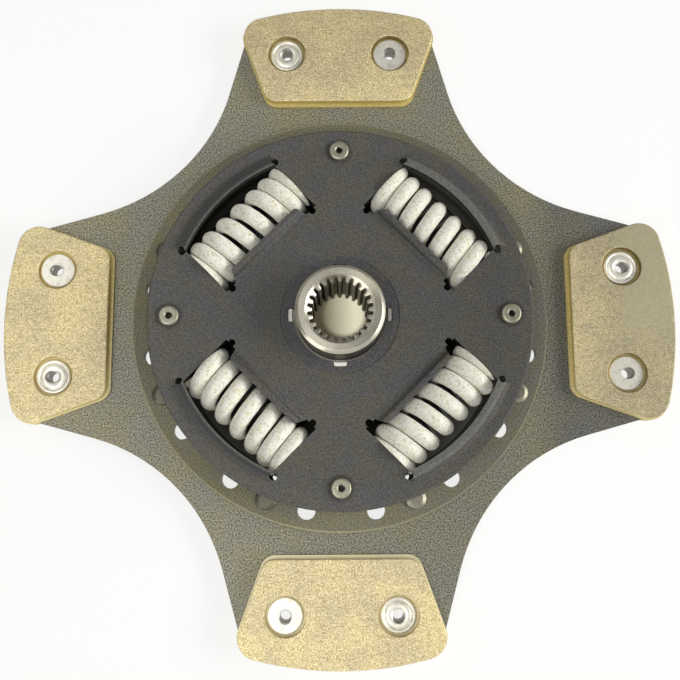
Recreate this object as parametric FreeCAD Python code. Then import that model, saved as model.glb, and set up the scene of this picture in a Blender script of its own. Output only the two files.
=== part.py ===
import FreeCAD, Part
import math
import os

# Clutch disc with four sintered-pad paddles and a sprung hub.
# Millimetres. +Z is the hub axis and points to the gearbox side. The origin is
# on the hub axis in the plane of the lower friction face, the flywheel side.
# Paddles point along +X, +Y, -X and -Y, and the springs lie on the diagonals.

Vec = FreeCAD.Vector
UP = Vec(0, 0, 1)
CENTRE = Vec(0, 0, 0)

# Counts
PADDLES = 4
SPRINGS = 4
STOPS = 4
CARRIER_RIVETS = 8
SPLINE_TEETH = 24

# Friction pads and their backing plates
DISC_R = 114.0
PAD_TO_PLATE_GAP = 7.1
PAD_INNER_WIDTH = 50.4
PAD_FLANK_ANGLE = 19.8
PAD_INNER_CORNER_R = 5.0
PAD_OUTER_CORNER_R = 7.0
BACKING_T = 0.9
LINING_T = 2.6
LINING_INNER_LEDGE = 1.2
LINING_SIDE_LEDGE = 0.4
LINING_EDGE_BREAK = 0.35

# Pad rivets
PAD_RIVET_PAST_MIDDLE = 0.8
PAD_RIVET_SPACING = 36.64
PAD_RIVET_SHANK_R = 2.6
PAD_RIVET_BORE_R = 1.8
PAD_RIVET_HEAD_R = 5.9
PAD_RIVET_HEAD_T = 1.2
PAD_RIVET_HEAD_BREAK = 0.35
PAD_RIVET_BORE_LEAD = 0.3
PAD_RIVET_ROLL_T = 1.2
PAD_RIVET_ROLL_EDGE_T = 0.6
PAD_RIVET_GROOVE_R = 4.5
PAD_RIVET_GROOVE_DEPTH = 0.5
PAD_RIVET_RECESS_GAP = 0.8
RIVET_HOLE_CLEARANCE = 0.1

# Carrier star
STAR_T = 1.5
STAR_WAIST_PAST_PLATE = 7.5
STAR_SCALLOP_R = 62.8
STAR_FLANK_TAPER = 15.6
STAR_TIP_INSET = 3.6
STAR_TIP_CORNER_R = 8.0
STAR_BORE_GAP = 0.6

# Drive plate and retainer plate
PLATE_T = 2.5
DRIVE_RIM_WIDTH = 6.1
RETAINER_RIM_WIDTH = 3.6
RETAINER_RIM_ROUND = 0.8
COIN_PAST_LUGS = 2.7
COIN_DEPTH = 0.25

# Rivets and ventilation holes between the drive plate and the star
CARRIER_CIRCLE_PAST_BORE = 4.5
CARRIER_RIVET_R = 2.5
CARRIER_HEAD_R = 3.6
CARRIER_HEAD_T = 1.3
CARRIER_HEAD_EDGE_T = 0.65
CARRIER_CROWN_R = 2.2
CARRIER_FIRST_ANGLE = 22.5
VENT_R = 3.0
VENT_ANGLE = 12.2

# Stop rivets
STOP_FROM_RETAINER_RIM = 7.53
STOP_SHOULDER_R = 4.0
STOP_NECK_R = 2.4
STOP_HEAD_R = 3.35
STOP_HEAD_T = 1.4
STOP_HEAD_ROUND = 0.9
STOP_DIMPLE_R = 0.75
STOP_DIMPLE_FLARE = 0.65
STOP_DIMPLE_FLARE_DEPTH = 0.45
STOP_DIMPLE_DEPTH = 1.5

# Springs
SPRING_CENTRE_R = 43.4
SPRING_OUTER_R = 9.4
SPRING_WIRE_R = 2.7
SPRING_LENGTH = 40.9
SPRING_PITCH = 6.85
SPRING_CLOSED_GAP = 0.1
SPRING_ACTIVE_TURNS = 3
SPRING_TOP_SHIFT = [0.9, -3.1]
SPRING_ARCS_PER_TURN = 6

# Windows for the springs
WINDOW_END_GAP = 0.2
WINDOW_INNER_GAP = 2.2
WINDOW_OUTER_GAP = 2.2
WINDOW_CORNER_R = 1.2
WINDOW_CORNER_IN = 0.5
WINDOW_CORNER_SIDE = 2.1
LIP_RISE = 2.0
LIP_TOP_WIDTH = 1.4
LIP_SLOPE_WIDTH = 3.4
DRIVE_LIP_SLOPE_WIDTH = 2.8
LIP_RELIEF_R = 1.25
LIP_RELIEF_ANGLE = 0.5
TONGUE_END_ROOM = 4.35
TONGUE_SIDE_RUN = 1.7
TONGUE_SLOPE_WIDTH = 3.1
TONGUE_TOP_WIDTH = 0.8
TONGUE_CORNER_R = 1.2

# Hub
HUB_R = 14.4
HUB_BOTTOM_Z = 2.2
HUB_LENGTH = 27.8
HUB_EDGE_BREAK = 1.1
FLANGE_T = 5.5
FLANGE_INSIDE_STOPS = 1.27
TWIST_LIMIT = 6.0
STOP_CONTACT_GAP = 0.3
NOTCH_FLOOR_GAP = 1.0
SPLINE_MAJOR_R = 10.5
SPLINE_MINOR_R = 8.9
TOOTH_TIP_WIDTH = 0.9
TOOTH_ROOT_WIDTH = 1.75
LEAD_IN_R = 11.2
LEAD_IN_ANGLE = 30.0

# Friction pieces round the hub
RUNNING_GAP = 0.05
BUSH_COLLAR_T = 0.9
FRICTION_RING_T = 1.1
FRICTION_RING_BORE_GAP = 0.5
LUG_PAST_BORE = 0.3
LUG_DEPTH = 1.2
LUG_WIDTH = 4.2
LUG_SEAT_GAP = 0.2
LUG_BELOW_TOP = 0.4
LUGS = 4
DISC_SPRING_T = 0.45
DISC_SPRING_DISH = 0.35
DISC_SPRING_WIDTH = 8.9
DISC_SPRING_INNER_GAP = 0.7
DISC_SPRING_OUTER_GAP = 0.5

# How far cutters run past a face, and how close two lengths count as one
CUT_PAST = 1.0
SAME = 0.001

# Radii and widths that follow from the sizes above, from the middle outwards
PLATE_BORE_R = HUB_R + 2 * RUNNING_GAP + BUSH_COLLAR_T
LUG_INNER_R = PLATE_BORE_R + LUG_PAST_BORE
LUG_OUTER_R = LUG_INNER_R + LUG_DEPTH
LUG_NOTCH_R = LUG_OUTER_R + LUG_SEAT_GAP
LUG_NOTCH_WIDTH = LUG_WIDTH + 2 * LUG_SEAT_GAP
COIN_R = LUG_OUTER_R + COIN_PAST_LUGS
DISC_SPRING_INNER_R = LUG_OUTER_R + DISC_SPRING_INNER_GAP
DISC_SPRING_OUTER_R = DISC_SPRING_INNER_R + DISC_SPRING_WIDTH
FRICTION_R = DISC_SPRING_OUTER_R + DISC_SPRING_OUTER_GAP
WINDOW_HALF = SPRING_LENGTH / 2 + WINDOW_END_GAP
WINDOW_INNER = SPRING_CENTRE_R - SPRING_OUTER_R - WINDOW_INNER_GAP
WINDOW_OUTER_R = SPRING_CENTRE_R + SPRING_OUTER_R + WINDOW_OUTER_GAP
TONGUE_HALF = WINDOW_HALF - TONGUE_END_ROOM
TONGUE_CROWN = WINDOW_INNER + TONGUE_SLOPE_WIDTH
TONGUE_EDGE = TONGUE_CROWN + TONGUE_TOP_WIDTH
LIP_HALF_ANGLE = math.degrees(math.asin(WINDOW_HALF / WINDOW_OUTER_R))
LIP_CROWN_R = WINDOW_OUTER_R + LIP_TOP_WIDTH
RETAINER_R = LIP_CROWN_R + LIP_SLOPE_WIDTH + RETAINER_RIM_WIDTH
STOP_CIRCLE_R = RETAINER_R - STOP_FROM_RETAINER_RIM
FLANGE_R = STOP_CIRCLE_R - FLANGE_INSIDE_STOPS
STAR_BORE_R = LIP_CROWN_R + DRIVE_LIP_SLOPE_WIDTH + STAR_BORE_GAP
CARRIER_CIRCLE_R = STAR_BORE_R + CARRIER_CIRCLE_PAST_BORE
DRIVE_PLATE_R = CARRIER_CIRCLE_R + DRIVE_RIM_WIDTH
STAR_WAIST_R = DRIVE_PLATE_R + STAR_WAIST_PAST_PLATE
PAD_INNER = DRIVE_PLATE_R + PAD_TO_PLATE_GAP
PAD_RIVET_X = (PAD_INNER + DISC_R) / 2 + PAD_RIVET_PAST_MIDDLE
SPRING_FIRST_ANGLE = 180.0 / SPRINGS

# Heights that follow from the sizes above, from the lower friction face up
STAR_BOTTOM = LINING_T + BACKING_T
STAR_TOP = STAR_BOTTOM + STAR_T
DRIVE_TOP = STAR_TOP + PLATE_T
FLANGE_BOTTOM = DRIVE_TOP + FRICTION_RING_T + DISC_SPRING_T + DISC_SPRING_DISH
FLANGE_TOP = FLANGE_BOTTOM + FLANGE_T
RETAINER_BOTTOM = FLANGE_TOP + FRICTION_RING_T + DISC_SPRING_T + DISC_SPRING_DISH
RETAINER_TOP = RETAINER_BOTTOM + PLATE_T
DAMPER_MID = (FLANGE_BOTTOM + FLANGE_TOP) / 2
HUB_TOP_Z = HUB_BOTTOM_Z + HUB_LENGTH


def on_circle(radius, degrees, z=0.0):
    a = math.radians(degrees)
    return Vec(radius * math.cos(a), radius * math.sin(a), z)


def turned(shape, degrees):
    copy = shape.copy()
    copy.rotate(CENTRE, UP, degrees)
    return copy


def round_copies(shape, count, first=0.0):
    return [turned(shape, first + i * 360.0 / count) for i in range(count)]


def cylinder(radius, z_low, z_high, at=CENTRE):
    return Part.makeCylinder(radius, z_high - z_low, Vec(at.x, at.y, z_low))


def hole(radius, z_low, z_high, at=CENTRE):
    # The cutter for a round hole through what lies between two heights
    return cylinder(radius, z_low - CUT_PAST, z_high + CUT_PAST, at)


def ring(inner, outer, z_low, z_high):
    return cylinder(outer, z_low, z_high).cut(hole(inner, z_low, z_high))


def sector(radius, z_low, z_high, half_angle):
    # A slice of a disc about +X that runs past both heights
    slice_z = Vec(0, 0, z_low - CUT_PAST)
    slice_t = z_high - z_low + 2 * CUT_PAST
    return turned(Part.makeCylinder(radius, slice_t, slice_z, UP, 2 * half_angle), -half_angle)


def line(a, b):
    return Part.LineSegment(a, b).toShape()


def arc(a, middle, b):
    return Part.Arc(a, middle, b).toShape()


def prism(edges, z_low, z_high):
    face = Part.Face(Part.Wire(edges))
    face.translate(Vec(0, 0, z_low))
    return face.extrude(Vec(0, 0, z_high - z_low))


def closed_loop(points):
    return [line(a, b) for a, b in zip(points, points[1:] + points[:1])]


def revolved(edges, degrees=360.0, start=0.0):
    # The outline lies in the XZ plane, with X as the radius.
    solid = Part.Face(Part.Wire(edges)).revolve(CENTRE, UP, degrees)
    return turned(solid, start)


def upright_edges(shape, radius):
    # Straight edges along Z that lie near a radius from the axis
    chosen = []
    for edge in shape.Edges:
        ends = [v.Point for v in edge.Vertexes]
        if len(ends) != 2:
            continue
        across = math.hypot(ends[0].x - ends[1].x, ends[0].y - ends[1].y)
        reach = math.hypot(ends[0].x, ends[0].y)
        if across < SAME and abs(reach - radius) < CUT_PAST:
            chosen.append(edge)
    return chosen


def pad_prism(outer_r, inner_edge, inner_half_width, z_low, z_high):
    # One paddle's pad outline: straight inner edge, flared sides and an outer
    # edge round the hub axis, with rounded corners
    flare = math.tan(math.radians(PAD_FLANK_ANGLE))
    # The flank is y = inner_half_width + flare * (x - inner_edge)
    b = inner_half_width - flare * inner_edge
    a_term = 1 + flare ** 2
    b_term = 2 * flare * b
    c_term = b ** 2 - outer_r ** 2
    corner_x = (-b_term + math.sqrt(b_term ** 2 - 4 * a_term * c_term)) / (2 * a_term)
    corner_y = b + flare * corner_x
    edges = [
        line(Vec(inner_edge, -inner_half_width, 0), Vec(corner_x, -corner_y, 0)),
        arc(Vec(corner_x, -corner_y, 0), Vec(outer_r, 0, 0), Vec(corner_x, corner_y, 0)),
        line(Vec(corner_x, corner_y, 0), Vec(inner_edge, inner_half_width, 0)),
        line(Vec(inner_edge, inner_half_width, 0), Vec(inner_edge, -inner_half_width, 0)),
    ]
    solid = prism(edges, z_low, z_high)
    solid = solid.makeFillet(PAD_OUTER_CORNER_R, upright_edges(solid, outer_r))
    inner_reach = math.hypot(inner_edge, inner_half_width)
    return solid.makeFillet(PAD_INNER_CORNER_R, upright_edges(solid, inner_reach))


def pad_rivet_places():
    half = PAD_RIVET_SPACING / 2
    return [Vec(PAD_RIVET_X, -half, 0), Vec(PAD_RIVET_X, half, 0)]


def drilled(solid, radius, places, z_low, z_high):
    return solid.cut([hole(radius, z_low, z_high, at) for at in places])


def backing_plate(z_low):
    z_high = z_low + BACKING_T
    solid = pad_prism(DISC_R, PAD_INNER, PAD_INNER_WIDTH / 2, z_low, z_high)
    hole_r = PAD_RIVET_SHANK_R + RIVET_HOLE_CLEARANCE
    return drilled(solid, hole_r, pad_rivet_places(), z_low, z_high)


def lining(z_low, face_up):
    # The sintered layer stands back from the backing plate's edge and is bored
    # through where the rivets' heads sit. Its wearing face has a broken edge.
    z_high = z_low + LINING_T
    flare = math.radians(PAD_FLANK_ANGLE)
    inner = PAD_INNER + LINING_INNER_LEDGE
    half = PAD_INNER_WIDTH / 2 + LINING_INNER_LEDGE * math.tan(flare)
    half = half - LINING_SIDE_LEDGE / math.cos(flare)
    solid = pad_prism(DISC_R - LINING_SIDE_LEDGE, inner, half, z_low, z_high)
    face_z = z_high if face_up else z_low
    rim = [e for e in solid.Edges if all(abs(v.Z - face_z) < SAME for v in e.Vertexes)]
    solid = solid.makeChamfer(LINING_EDGE_BREAK, rim)
    recess_r = PAD_RIVET_HEAD_R + PAD_RIVET_RECESS_GAP
    return drilled(solid, recess_r, pad_rivet_places(), z_low, z_high)


def pad_rivet():
    # Tubular rivet with a flat head above and a rolled end below, made at the
    # axis. The rolled end is two round beads with a groove between them.
    top = STAR_TOP + BACKING_T
    head_top = top + PAD_RIVET_HEAD_T
    bottom = STAR_BOTTOM - BACKING_T
    roll_edge = bottom - PAD_RIVET_ROLL_EDGE_T
    roll_bottom = bottom - PAD_RIVET_ROLL_T
    bore = PAD_RIVET_BORE_R
    shank = PAD_RIVET_SHANK_R
    head = PAD_RIVET_HEAD_R
    groove = Vec(PAD_RIVET_GROOVE_R, 0, roll_bottom + PAD_RIVET_GROOVE_DEPTH)
    outline = [
        Vec(bore, 0, roll_edge),
        Vec(bore, 0, head_top - PAD_RIVET_BORE_LEAD),
        Vec(bore + PAD_RIVET_BORE_LEAD, 0, head_top),
        Vec(head - PAD_RIVET_HEAD_BREAK, 0, head_top),
        Vec(head, 0, head_top - PAD_RIVET_HEAD_BREAK),
        Vec(head, 0, top),
        Vec(shank, 0, top),
        Vec(shank, 0, bottom),
        Vec(head, 0, bottom),
        Vec(head, 0, roll_edge),
    ]
    edges = [line(a, b) for a, b in zip(outline, outline[1:])]
    outer_crest = Vec((groove.x + head) / 2, 0, roll_bottom)
    inner_crest = Vec((groove.x + bore) / 2, 0, roll_bottom)
    edges.append(arc(outline[-1], outer_crest, groove))
    edges.append(arc(groove, inner_crest, outline[0]))
    return revolved(edges)


def pad_rivets():
    # One of each pair is set from above and the other from below.
    low_side, high_side = pad_rivet_places()
    from_above = pad_rivet()
    from_below = from_above.copy()
    from_below.rotate(Vec(0, 0, (STAR_BOTTOM + STAR_TOP) / 2), Vec(1, 0, 0), 180)
    from_above.translate(low_side)
    from_below.translate(high_side)
    solids = round_copies(from_above, PADDLES) + round_copies(from_below, PADDLES)
    return Part.makeCompound(solids)


def star_outline():
    # Each paddle's straight flanks run into large hollow arcs on the diagonals.
    taper = math.radians(STAR_FLANK_TAPER)
    hollow_far = (STAR_WAIST_R + STAR_SCALLOP_R) / math.sqrt(2)
    touch_x = hollow_far - STAR_SCALLOP_R * math.sin(taper)
    touch_y = hollow_far - STAR_SCALLOP_R * math.cos(taper)
    tip_r = DISC_R - STAR_TIP_INSET
    # The flank from the touching point out to the tip circle
    along = touch_x * math.cos(taper) - touch_y * math.sin(taper)
    apart = touch_x ** 2 + touch_y ** 2 - tip_r ** 2
    run = -along + math.sqrt(along ** 2 - apart)
    tip_x = touch_x + run * math.cos(taper)
    tip_y = touch_y - run * math.sin(taper)
    tip = [Vec(tip_x, -tip_y, 0), Vec(tip_r, 0, 0), Vec(tip_x, tip_y, 0)]
    touch_low = Vec(touch_x, -touch_y, 0)
    touch_high = Vec(touch_x, touch_y, 0)
    between = 360.0 / PADDLES
    edges = []
    for i in range(PADDLES):
        paddle = Part.makeCompound([
            line(touch_low, tip[0]),
            arc(*tip),
            line(tip[2], touch_high),
            arc(touch_high, on_circle(STAR_WAIST_R, between / 2), turned_point(touch_low, between)),
        ])
        edges += turned(paddle, i * between).Edges
    return edges


def turned_point(point, degrees):
    spin = FreeCAD.Rotation(UP, degrees)
    return spin.multVec(point)


def carrier_holes(z_low, z_high):
    # A rivet hole with a ventilation hole on each side of it, eight times round
    rivet_r = CARRIER_RIVET_R + RIVET_HOLE_CLEARANCE
    rivet_hole = hole(rivet_r, z_low, z_high, on_circle(CARRIER_CIRCLE_R, 0))
    cutters = round_copies(rivet_hole, CARRIER_RIVETS, CARRIER_FIRST_ANGLE)
    for side in (-VENT_ANGLE, VENT_ANGLE):
        vent = hole(VENT_R, z_low, z_high, on_circle(CARRIER_CIRCLE_R, side))
        cutters += round_copies(vent, CARRIER_RIVETS, CARRIER_FIRST_ANGLE)
    return cutters


def carrier_star():
    solid = prism(star_outline(), STAR_BOTTOM, STAR_TOP)
    tip_r = DISC_R - STAR_TIP_INSET
    solid = solid.makeFillet(STAR_TIP_CORNER_R, upright_edges(solid, tip_r))
    cutters = [hole(STAR_BORE_R, STAR_BOTTOM, STAR_TOP)]
    cutters += carrier_holes(STAR_BOTTOM, STAR_TOP)
    hole_r = PAD_RIVET_SHANK_R + RIVET_HOLE_CLEARANCE
    for place in pad_rivet_places():
        cutters += round_copies(hole(hole_r, STAR_BOTTOM, STAR_TOP, place), PADDLES)
    return solid.cut(cutters)


def window_cutter(z_low, z_high, outer_r):
    # One spring window on +X: straight inner edge with relieved corners,
    # straight ends and an outer edge round the hub axis
    end_x = math.sqrt(outer_r ** 2 - WINDOW_HALF ** 2)
    edges = [
        line(Vec(WINDOW_INNER, -WINDOW_HALF, 0), Vec(end_x, -WINDOW_HALF, 0)),
        arc(Vec(end_x, -WINDOW_HALF, 0), Vec(outer_r, 0, 0), Vec(end_x, WINDOW_HALF, 0)),
        line(Vec(end_x, WINDOW_HALF, 0), Vec(WINDOW_INNER, WINDOW_HALF, 0)),
        line(Vec(WINDOW_INNER, WINDOW_HALF, 0), Vec(WINDOW_INNER, -WINDOW_HALF, 0)),
    ]
    opening = prism(edges, z_low - CUT_PAST, z_high + CUT_PAST)
    corner_x = WINDOW_INNER - WINDOW_CORNER_IN
    corner_y = WINDOW_HALF - WINDOW_CORNER_SIDE
    corners = [hole(WINDOW_CORNER_R, z_low, z_high, Vec(corner_x, side * corner_y, 0))
               for side in (-1, 1)]
    return opening.fuse(corners)


def pressed_strip(z_low, rise, foot, crown, edge):
    # The section of a strip pressed up or down out of a plate, in the XZ plane:
    # an S-shaped slope from its foot to its crown, and a flat top to its edge
    width = abs(crown - foot)
    way = math.copysign(1, crown - foot)
    bend = (width ** 2 + rise ** 2) / (4 * abs(rise))
    sweep = math.asin(width / 2 / bend) / 2
    side = way * bend * math.sin(sweep)
    drop = bend * (1 - math.cos(sweep)) * math.copysign(1, rise)

    def slope(z):
        middle = Vec((crown + foot) / 2, 0, z + rise / 2)
        near_foot = Vec(foot + side, 0, z + drop)
        near_crown = Vec(crown - side, 0, z + rise - drop)
        return [arc(Vec(foot, 0, z), near_foot, middle),
                arc(middle, near_crown, Vec(crown, 0, z + rise))]

    z_high = z_low + PLATE_T
    edges = slope(z_low) + slope(z_high)
    edges.append(line(Vec(crown, 0, z_low + rise), Vec(edge, 0, z_low + rise)))
    edges.append(line(Vec(edge, 0, z_low + rise), Vec(edge, 0, z_high + rise)))
    edges.append(line(Vec(edge, 0, z_high + rise), Vec(crown, 0, z_high + rise)))
    edges.append(line(Vec(foot, 0, z_high), Vec(foot, 0, z_low)))
    return Part.__sortEdges__(edges)


def lip(z_low, rise, slope_width):
    # The window's outer edge is pressed out of the plate, round the hub axis.
    section = pressed_strip(z_low, rise, LIP_CROWN_R + slope_width, LIP_CROWN_R, WINDOW_OUTER_R)
    return revolved(section, 2 * LIP_HALF_ANGLE, -LIP_HALF_ANGLE)


def tongue(z_low, rise):
    # The middle of the window's inner edge is pressed out the same way, as a
    # straight tongue that narrows towards its edge.
    section = pressed_strip(z_low, rise, WINDOW_INNER, TONGUE_CROWN, TONGUE_EDGE)
    strip = Part.Face(Part.Wire(section)).extrude(Vec(0, 2 * TONGUE_HALF, 0))
    strip.translate(Vec(0, -TONGUE_HALF, 0))
    tip_half = TONGUE_HALF - TONGUE_SIDE_RUN
    corners = [
        Vec(WINDOW_INNER, -TONGUE_HALF, 0),
        Vec(TONGUE_EDGE, -tip_half, 0),
        Vec(TONGUE_EDGE, tip_half, 0),
        Vec(WINDOW_INNER, TONGUE_HALF, 0),
    ]
    lowest = z_low - abs(rise) - CUT_PAST
    highest = z_low + PLATE_T + abs(rise) + CUT_PAST
    outline = prism(closed_loop(corners), lowest, highest)
    tip_reach = math.hypot(TONGUE_EDGE, tip_half)
    outline = outline.makeFillet(TONGUE_CORNER_R, upright_edges(outline, tip_reach))
    return strip.common(outline)


def with_windows(plate, z_low, rise, slope_width):
    # Cuts the four windows and their lips' relief holes, and adds the lips and
    # the tongues
    z_high = z_low + PLATE_T
    foot_r = LIP_CROWN_R + slope_width
    lip_bed = sector(foot_r, z_low, z_high, LIP_HALF_ANGLE).cut(hole(WINDOW_OUTER_R, z_low, z_high))
    cutter = window_cutter(z_low, z_high, WINDOW_OUTER_R).fuse(lip_bed)
    plate = plate.cut(round_copies(cutter, SPRINGS, SPRING_FIRST_ANGLE))
    pressed = [lip(z_low, rise, slope_width), tongue(z_low, rise)]
    for shape in pressed:
        plate = plate.fuse(round_copies(shape, SPRINGS, SPRING_FIRST_ANGLE))
    reliefs = []
    for side in (-1, 1):
        place = on_circle(LIP_CROWN_R, side * (LIP_HALF_ANGLE + LIP_RELIEF_ANGLE))
        relief = hole(LIP_RELIEF_R, z_low - abs(rise), z_high + abs(rise), place)
        reliefs += round_copies(relief, SPRINGS, SPRING_FIRST_ANGLE)
    return plate.cut(reliefs).removeSplitter()


def stop_holes(z_low, z_high):
    hole_r = STOP_NECK_R + RIVET_HOLE_CLEARANCE
    return round_copies(hole(hole_r, z_low, z_high, on_circle(STOP_CIRCLE_R, 0)), STOPS)


def drive_plate():
    plate = ring(PLATE_BORE_R, DRIVE_PLATE_R, STAR_TOP, DRIVE_TOP)
    plate = with_windows(plate, STAR_TOP, -LIP_RISE, DRIVE_LIP_SLOPE_WIDTH)
    return plate.cut(carrier_holes(STAR_TOP, DRIVE_TOP) + stop_holes(STAR_TOP, DRIVE_TOP))


def lug_notch():
    # One notch in the rim of the retainer's bore, for a lug of the friction ring
    return Part.makeBox(LUG_NOTCH_R, LUG_NOTCH_WIDTH, PLATE_T + 2 * CUT_PAST,
                        Vec(0, -LUG_NOTCH_WIDTH / 2, RETAINER_BOTTOM - CUT_PAST))


def retainer_plate():
    # The stamped rim is rounded above, and the land round the bore is coined.
    r = RETAINER_R
    e = RETAINER_RIM_ROUND
    top = RETAINER_TOP
    coin_z = top - COIN_DEPTH
    round_middle = Vec(r - e + e * math.sin(math.pi / 4), 0, top - e + e * math.cos(math.pi / 4))
    edges = [
        line(Vec(PLATE_BORE_R, 0, RETAINER_BOTTOM), Vec(r, 0, RETAINER_BOTTOM)),
        line(Vec(r, 0, RETAINER_BOTTOM), Vec(r, 0, top - e)),
        arc(Vec(r, 0, top - e), round_middle, Vec(r - e, 0, top)),
        line(Vec(r - e, 0, top), Vec(COIN_R, 0, top)),
        line(Vec(COIN_R, 0, top), Vec(COIN_R - COIN_DEPTH, 0, coin_z)),
        line(Vec(COIN_R - COIN_DEPTH, 0, coin_z), Vec(PLATE_BORE_R, 0, coin_z)),
        line(Vec(PLATE_BORE_R, 0, coin_z), Vec(PLATE_BORE_R, 0, RETAINER_BOTTOM)),
    ]
    plate = revolved(edges)
    plate = with_windows(plate, RETAINER_BOTTOM, LIP_RISE, LIP_SLOPE_WIDTH)
    cutters = stop_holes(RETAINER_BOTTOM, RETAINER_TOP) + round_copies(lug_notch(), LUGS)
    return plate.cut(cutters)


def stop_rivet():
    # A thick shoulder keeps the plates apart, and a neck passes through each
    # plate to a head. The upper head is domed and has a flared blind hole.
    top = RETAINER_TOP
    low = STAR_TOP
    head_top = top + STOP_HEAD_T
    mouth_r = STOP_DIMPLE_R + STOP_DIMPLE_FLARE
    outline = [
        Vec(STOP_HEAD_R, 0, top),
        Vec(STOP_NECK_R, 0, top),
        Vec(STOP_NECK_R, 0, RETAINER_BOTTOM),
        Vec(STOP_SHOULDER_R, 0, RETAINER_BOTTOM),
        Vec(STOP_SHOULDER_R, 0, DRIVE_TOP),
        Vec(STOP_NECK_R, 0, DRIVE_TOP),
        Vec(STOP_NECK_R, 0, low),
        Vec(STOP_HEAD_R, 0, low),
        Vec(STOP_HEAD_R, 0, low - STOP_HEAD_T + STOP_HEAD_ROUND),
        Vec(STOP_HEAD_R - STOP_HEAD_ROUND, 0, low - STOP_HEAD_T),
        Vec(0, 0, low - STOP_HEAD_T),
        Vec(0, 0, head_top - STOP_DIMPLE_DEPTH),
        Vec(STOP_DIMPLE_R, 0, head_top - STOP_DIMPLE_DEPTH),
        Vec(STOP_DIMPLE_R, 0, head_top - STOP_DIMPLE_FLARE_DEPTH),
        Vec(mouth_r, 0, head_top),
    ]
    edges = [line(a, b) for a, b in zip(outline, outline[1:])]
    # The dome: a quarter round from the mouth of the hole to the head's side
    flat_end = Vec(STOP_HEAD_R - STOP_HEAD_ROUND, 0, head_top)
    side_top = Vec(STOP_HEAD_R, 0, head_top - STOP_HEAD_ROUND)
    bulge = STOP_HEAD_ROUND * math.sin(math.pi / 4)
    dome = Vec(flat_end.x + bulge, 0, side_top.z + bulge)
    edges.append(line(outline[-1], flat_end))
    edges.append(arc(flat_end, dome, side_top))
    edges.append(line(side_top, outline[0]))
    return revolved(edges)


def stop_rivets():
    one = stop_rivet()
    one.translate(on_circle(STOP_CIRCLE_R, 0))
    return Part.makeCompound(round_copies(one, STOPS))


def carrier_rivet():
    # Solid rivet with a low cone head on each side
    outline = [
        Vec(0, 0, DRIVE_TOP + CARRIER_HEAD_T),
        Vec(CARRIER_CROWN_R, 0, DRIVE_TOP + CARRIER_HEAD_T),
        Vec(CARRIER_HEAD_R, 0, DRIVE_TOP + CARRIER_HEAD_EDGE_T),
        Vec(CARRIER_HEAD_R, 0, DRIVE_TOP),
        Vec(CARRIER_RIVET_R, 0, DRIVE_TOP),
        Vec(CARRIER_RIVET_R, 0, STAR_BOTTOM),
        Vec(CARRIER_HEAD_R, 0, STAR_BOTTOM),
        Vec(CARRIER_HEAD_R, 0, STAR_BOTTOM - CARRIER_HEAD_EDGE_T),
        Vec(CARRIER_CROWN_R, 0, STAR_BOTTOM - CARRIER_HEAD_T),
        Vec(0, 0, STAR_BOTTOM - CARRIER_HEAD_T),
    ]
    return revolved(closed_loop(outline))


def carrier_rivets():
    one = carrier_rivet()
    one.translate(on_circle(CARRIER_CIRCLE_R, 0))
    return Part.makeCompound(round_copies(one, CARRIER_RIVETS, CARRIER_FIRST_ANGLE))


def spline_bore(z_low, z_high):
    # The air inside the bore: a gap between each two teeth, from their tips to
    # their roots
    pitch = 360.0 / SPLINE_TEETH
    tip = math.degrees(TOOTH_TIP_WIDTH / 2 / SPLINE_MINOR_R)
    root = math.degrees(TOOTH_ROOT_WIDTH / 2 / SPLINE_MAJOR_R)
    edges = []
    for i in range(SPLINE_TEETH):
        middle = i * pitch
        after = middle + pitch
        tip_start = on_circle(SPLINE_MINOR_R, middle - tip)
        tip_end = on_circle(SPLINE_MINOR_R, middle + tip)
        root_start = on_circle(SPLINE_MAJOR_R, middle + root)
        root_end = on_circle(SPLINE_MAJOR_R, after - root)
        next_tip = on_circle(SPLINE_MINOR_R, after - tip)
        edges.append(arc(tip_start, on_circle(SPLINE_MINOR_R, middle), tip_end))
        edges.append(line(tip_end, root_start))
        edges.append(arc(root_start, on_circle(SPLINE_MAJOR_R, middle + pitch / 2), root_end))
        edges.append(line(root_end, next_tip))
    return prism(edges, z_low, z_high)


def hub_flange():
    # A disc cut by the four spring windows, which are open at the rim, and by
    # the notches in which the stop rivets travel
    flange = cylinder(FLANGE_R, FLANGE_BOTTOM, FLANGE_TOP)
    window = window_cutter(FLANGE_BOTTOM, FLANGE_TOP, FLANGE_R + WINDOW_HALF)
    # The side of a notch comes nearest to a rivet's shoulder where the shoulder
    # is widest, or at the flange's rim if that lies further in.
    apart = STOP_SHOULDER_R + STOP_CONTACT_GAP
    near_r = min(FLANGE_R, math.sqrt(STOP_CIRCLE_R ** 2 - apart ** 2))
    contact = math.acos((STOP_CIRCLE_R ** 2 + near_r ** 2 - apart ** 2) / (2 * STOP_CIRCLE_R * near_r))
    half_angle = TWIST_LIMIT + math.degrees(contact)
    floor_r = STOP_CIRCLE_R - STOP_SHOULDER_R - NOTCH_FLOOR_GAP
    notch = sector(FLANGE_R + CUT_PAST, FLANGE_BOTTOM, FLANGE_TOP, half_angle)
    notch = notch.cut(cylinder(floor_r, 0, HUB_TOP_Z))
    return flange.cut(round_copies(window, SPRINGS, SPRING_FIRST_ANGLE) + round_copies(notch, STOPS))


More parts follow.
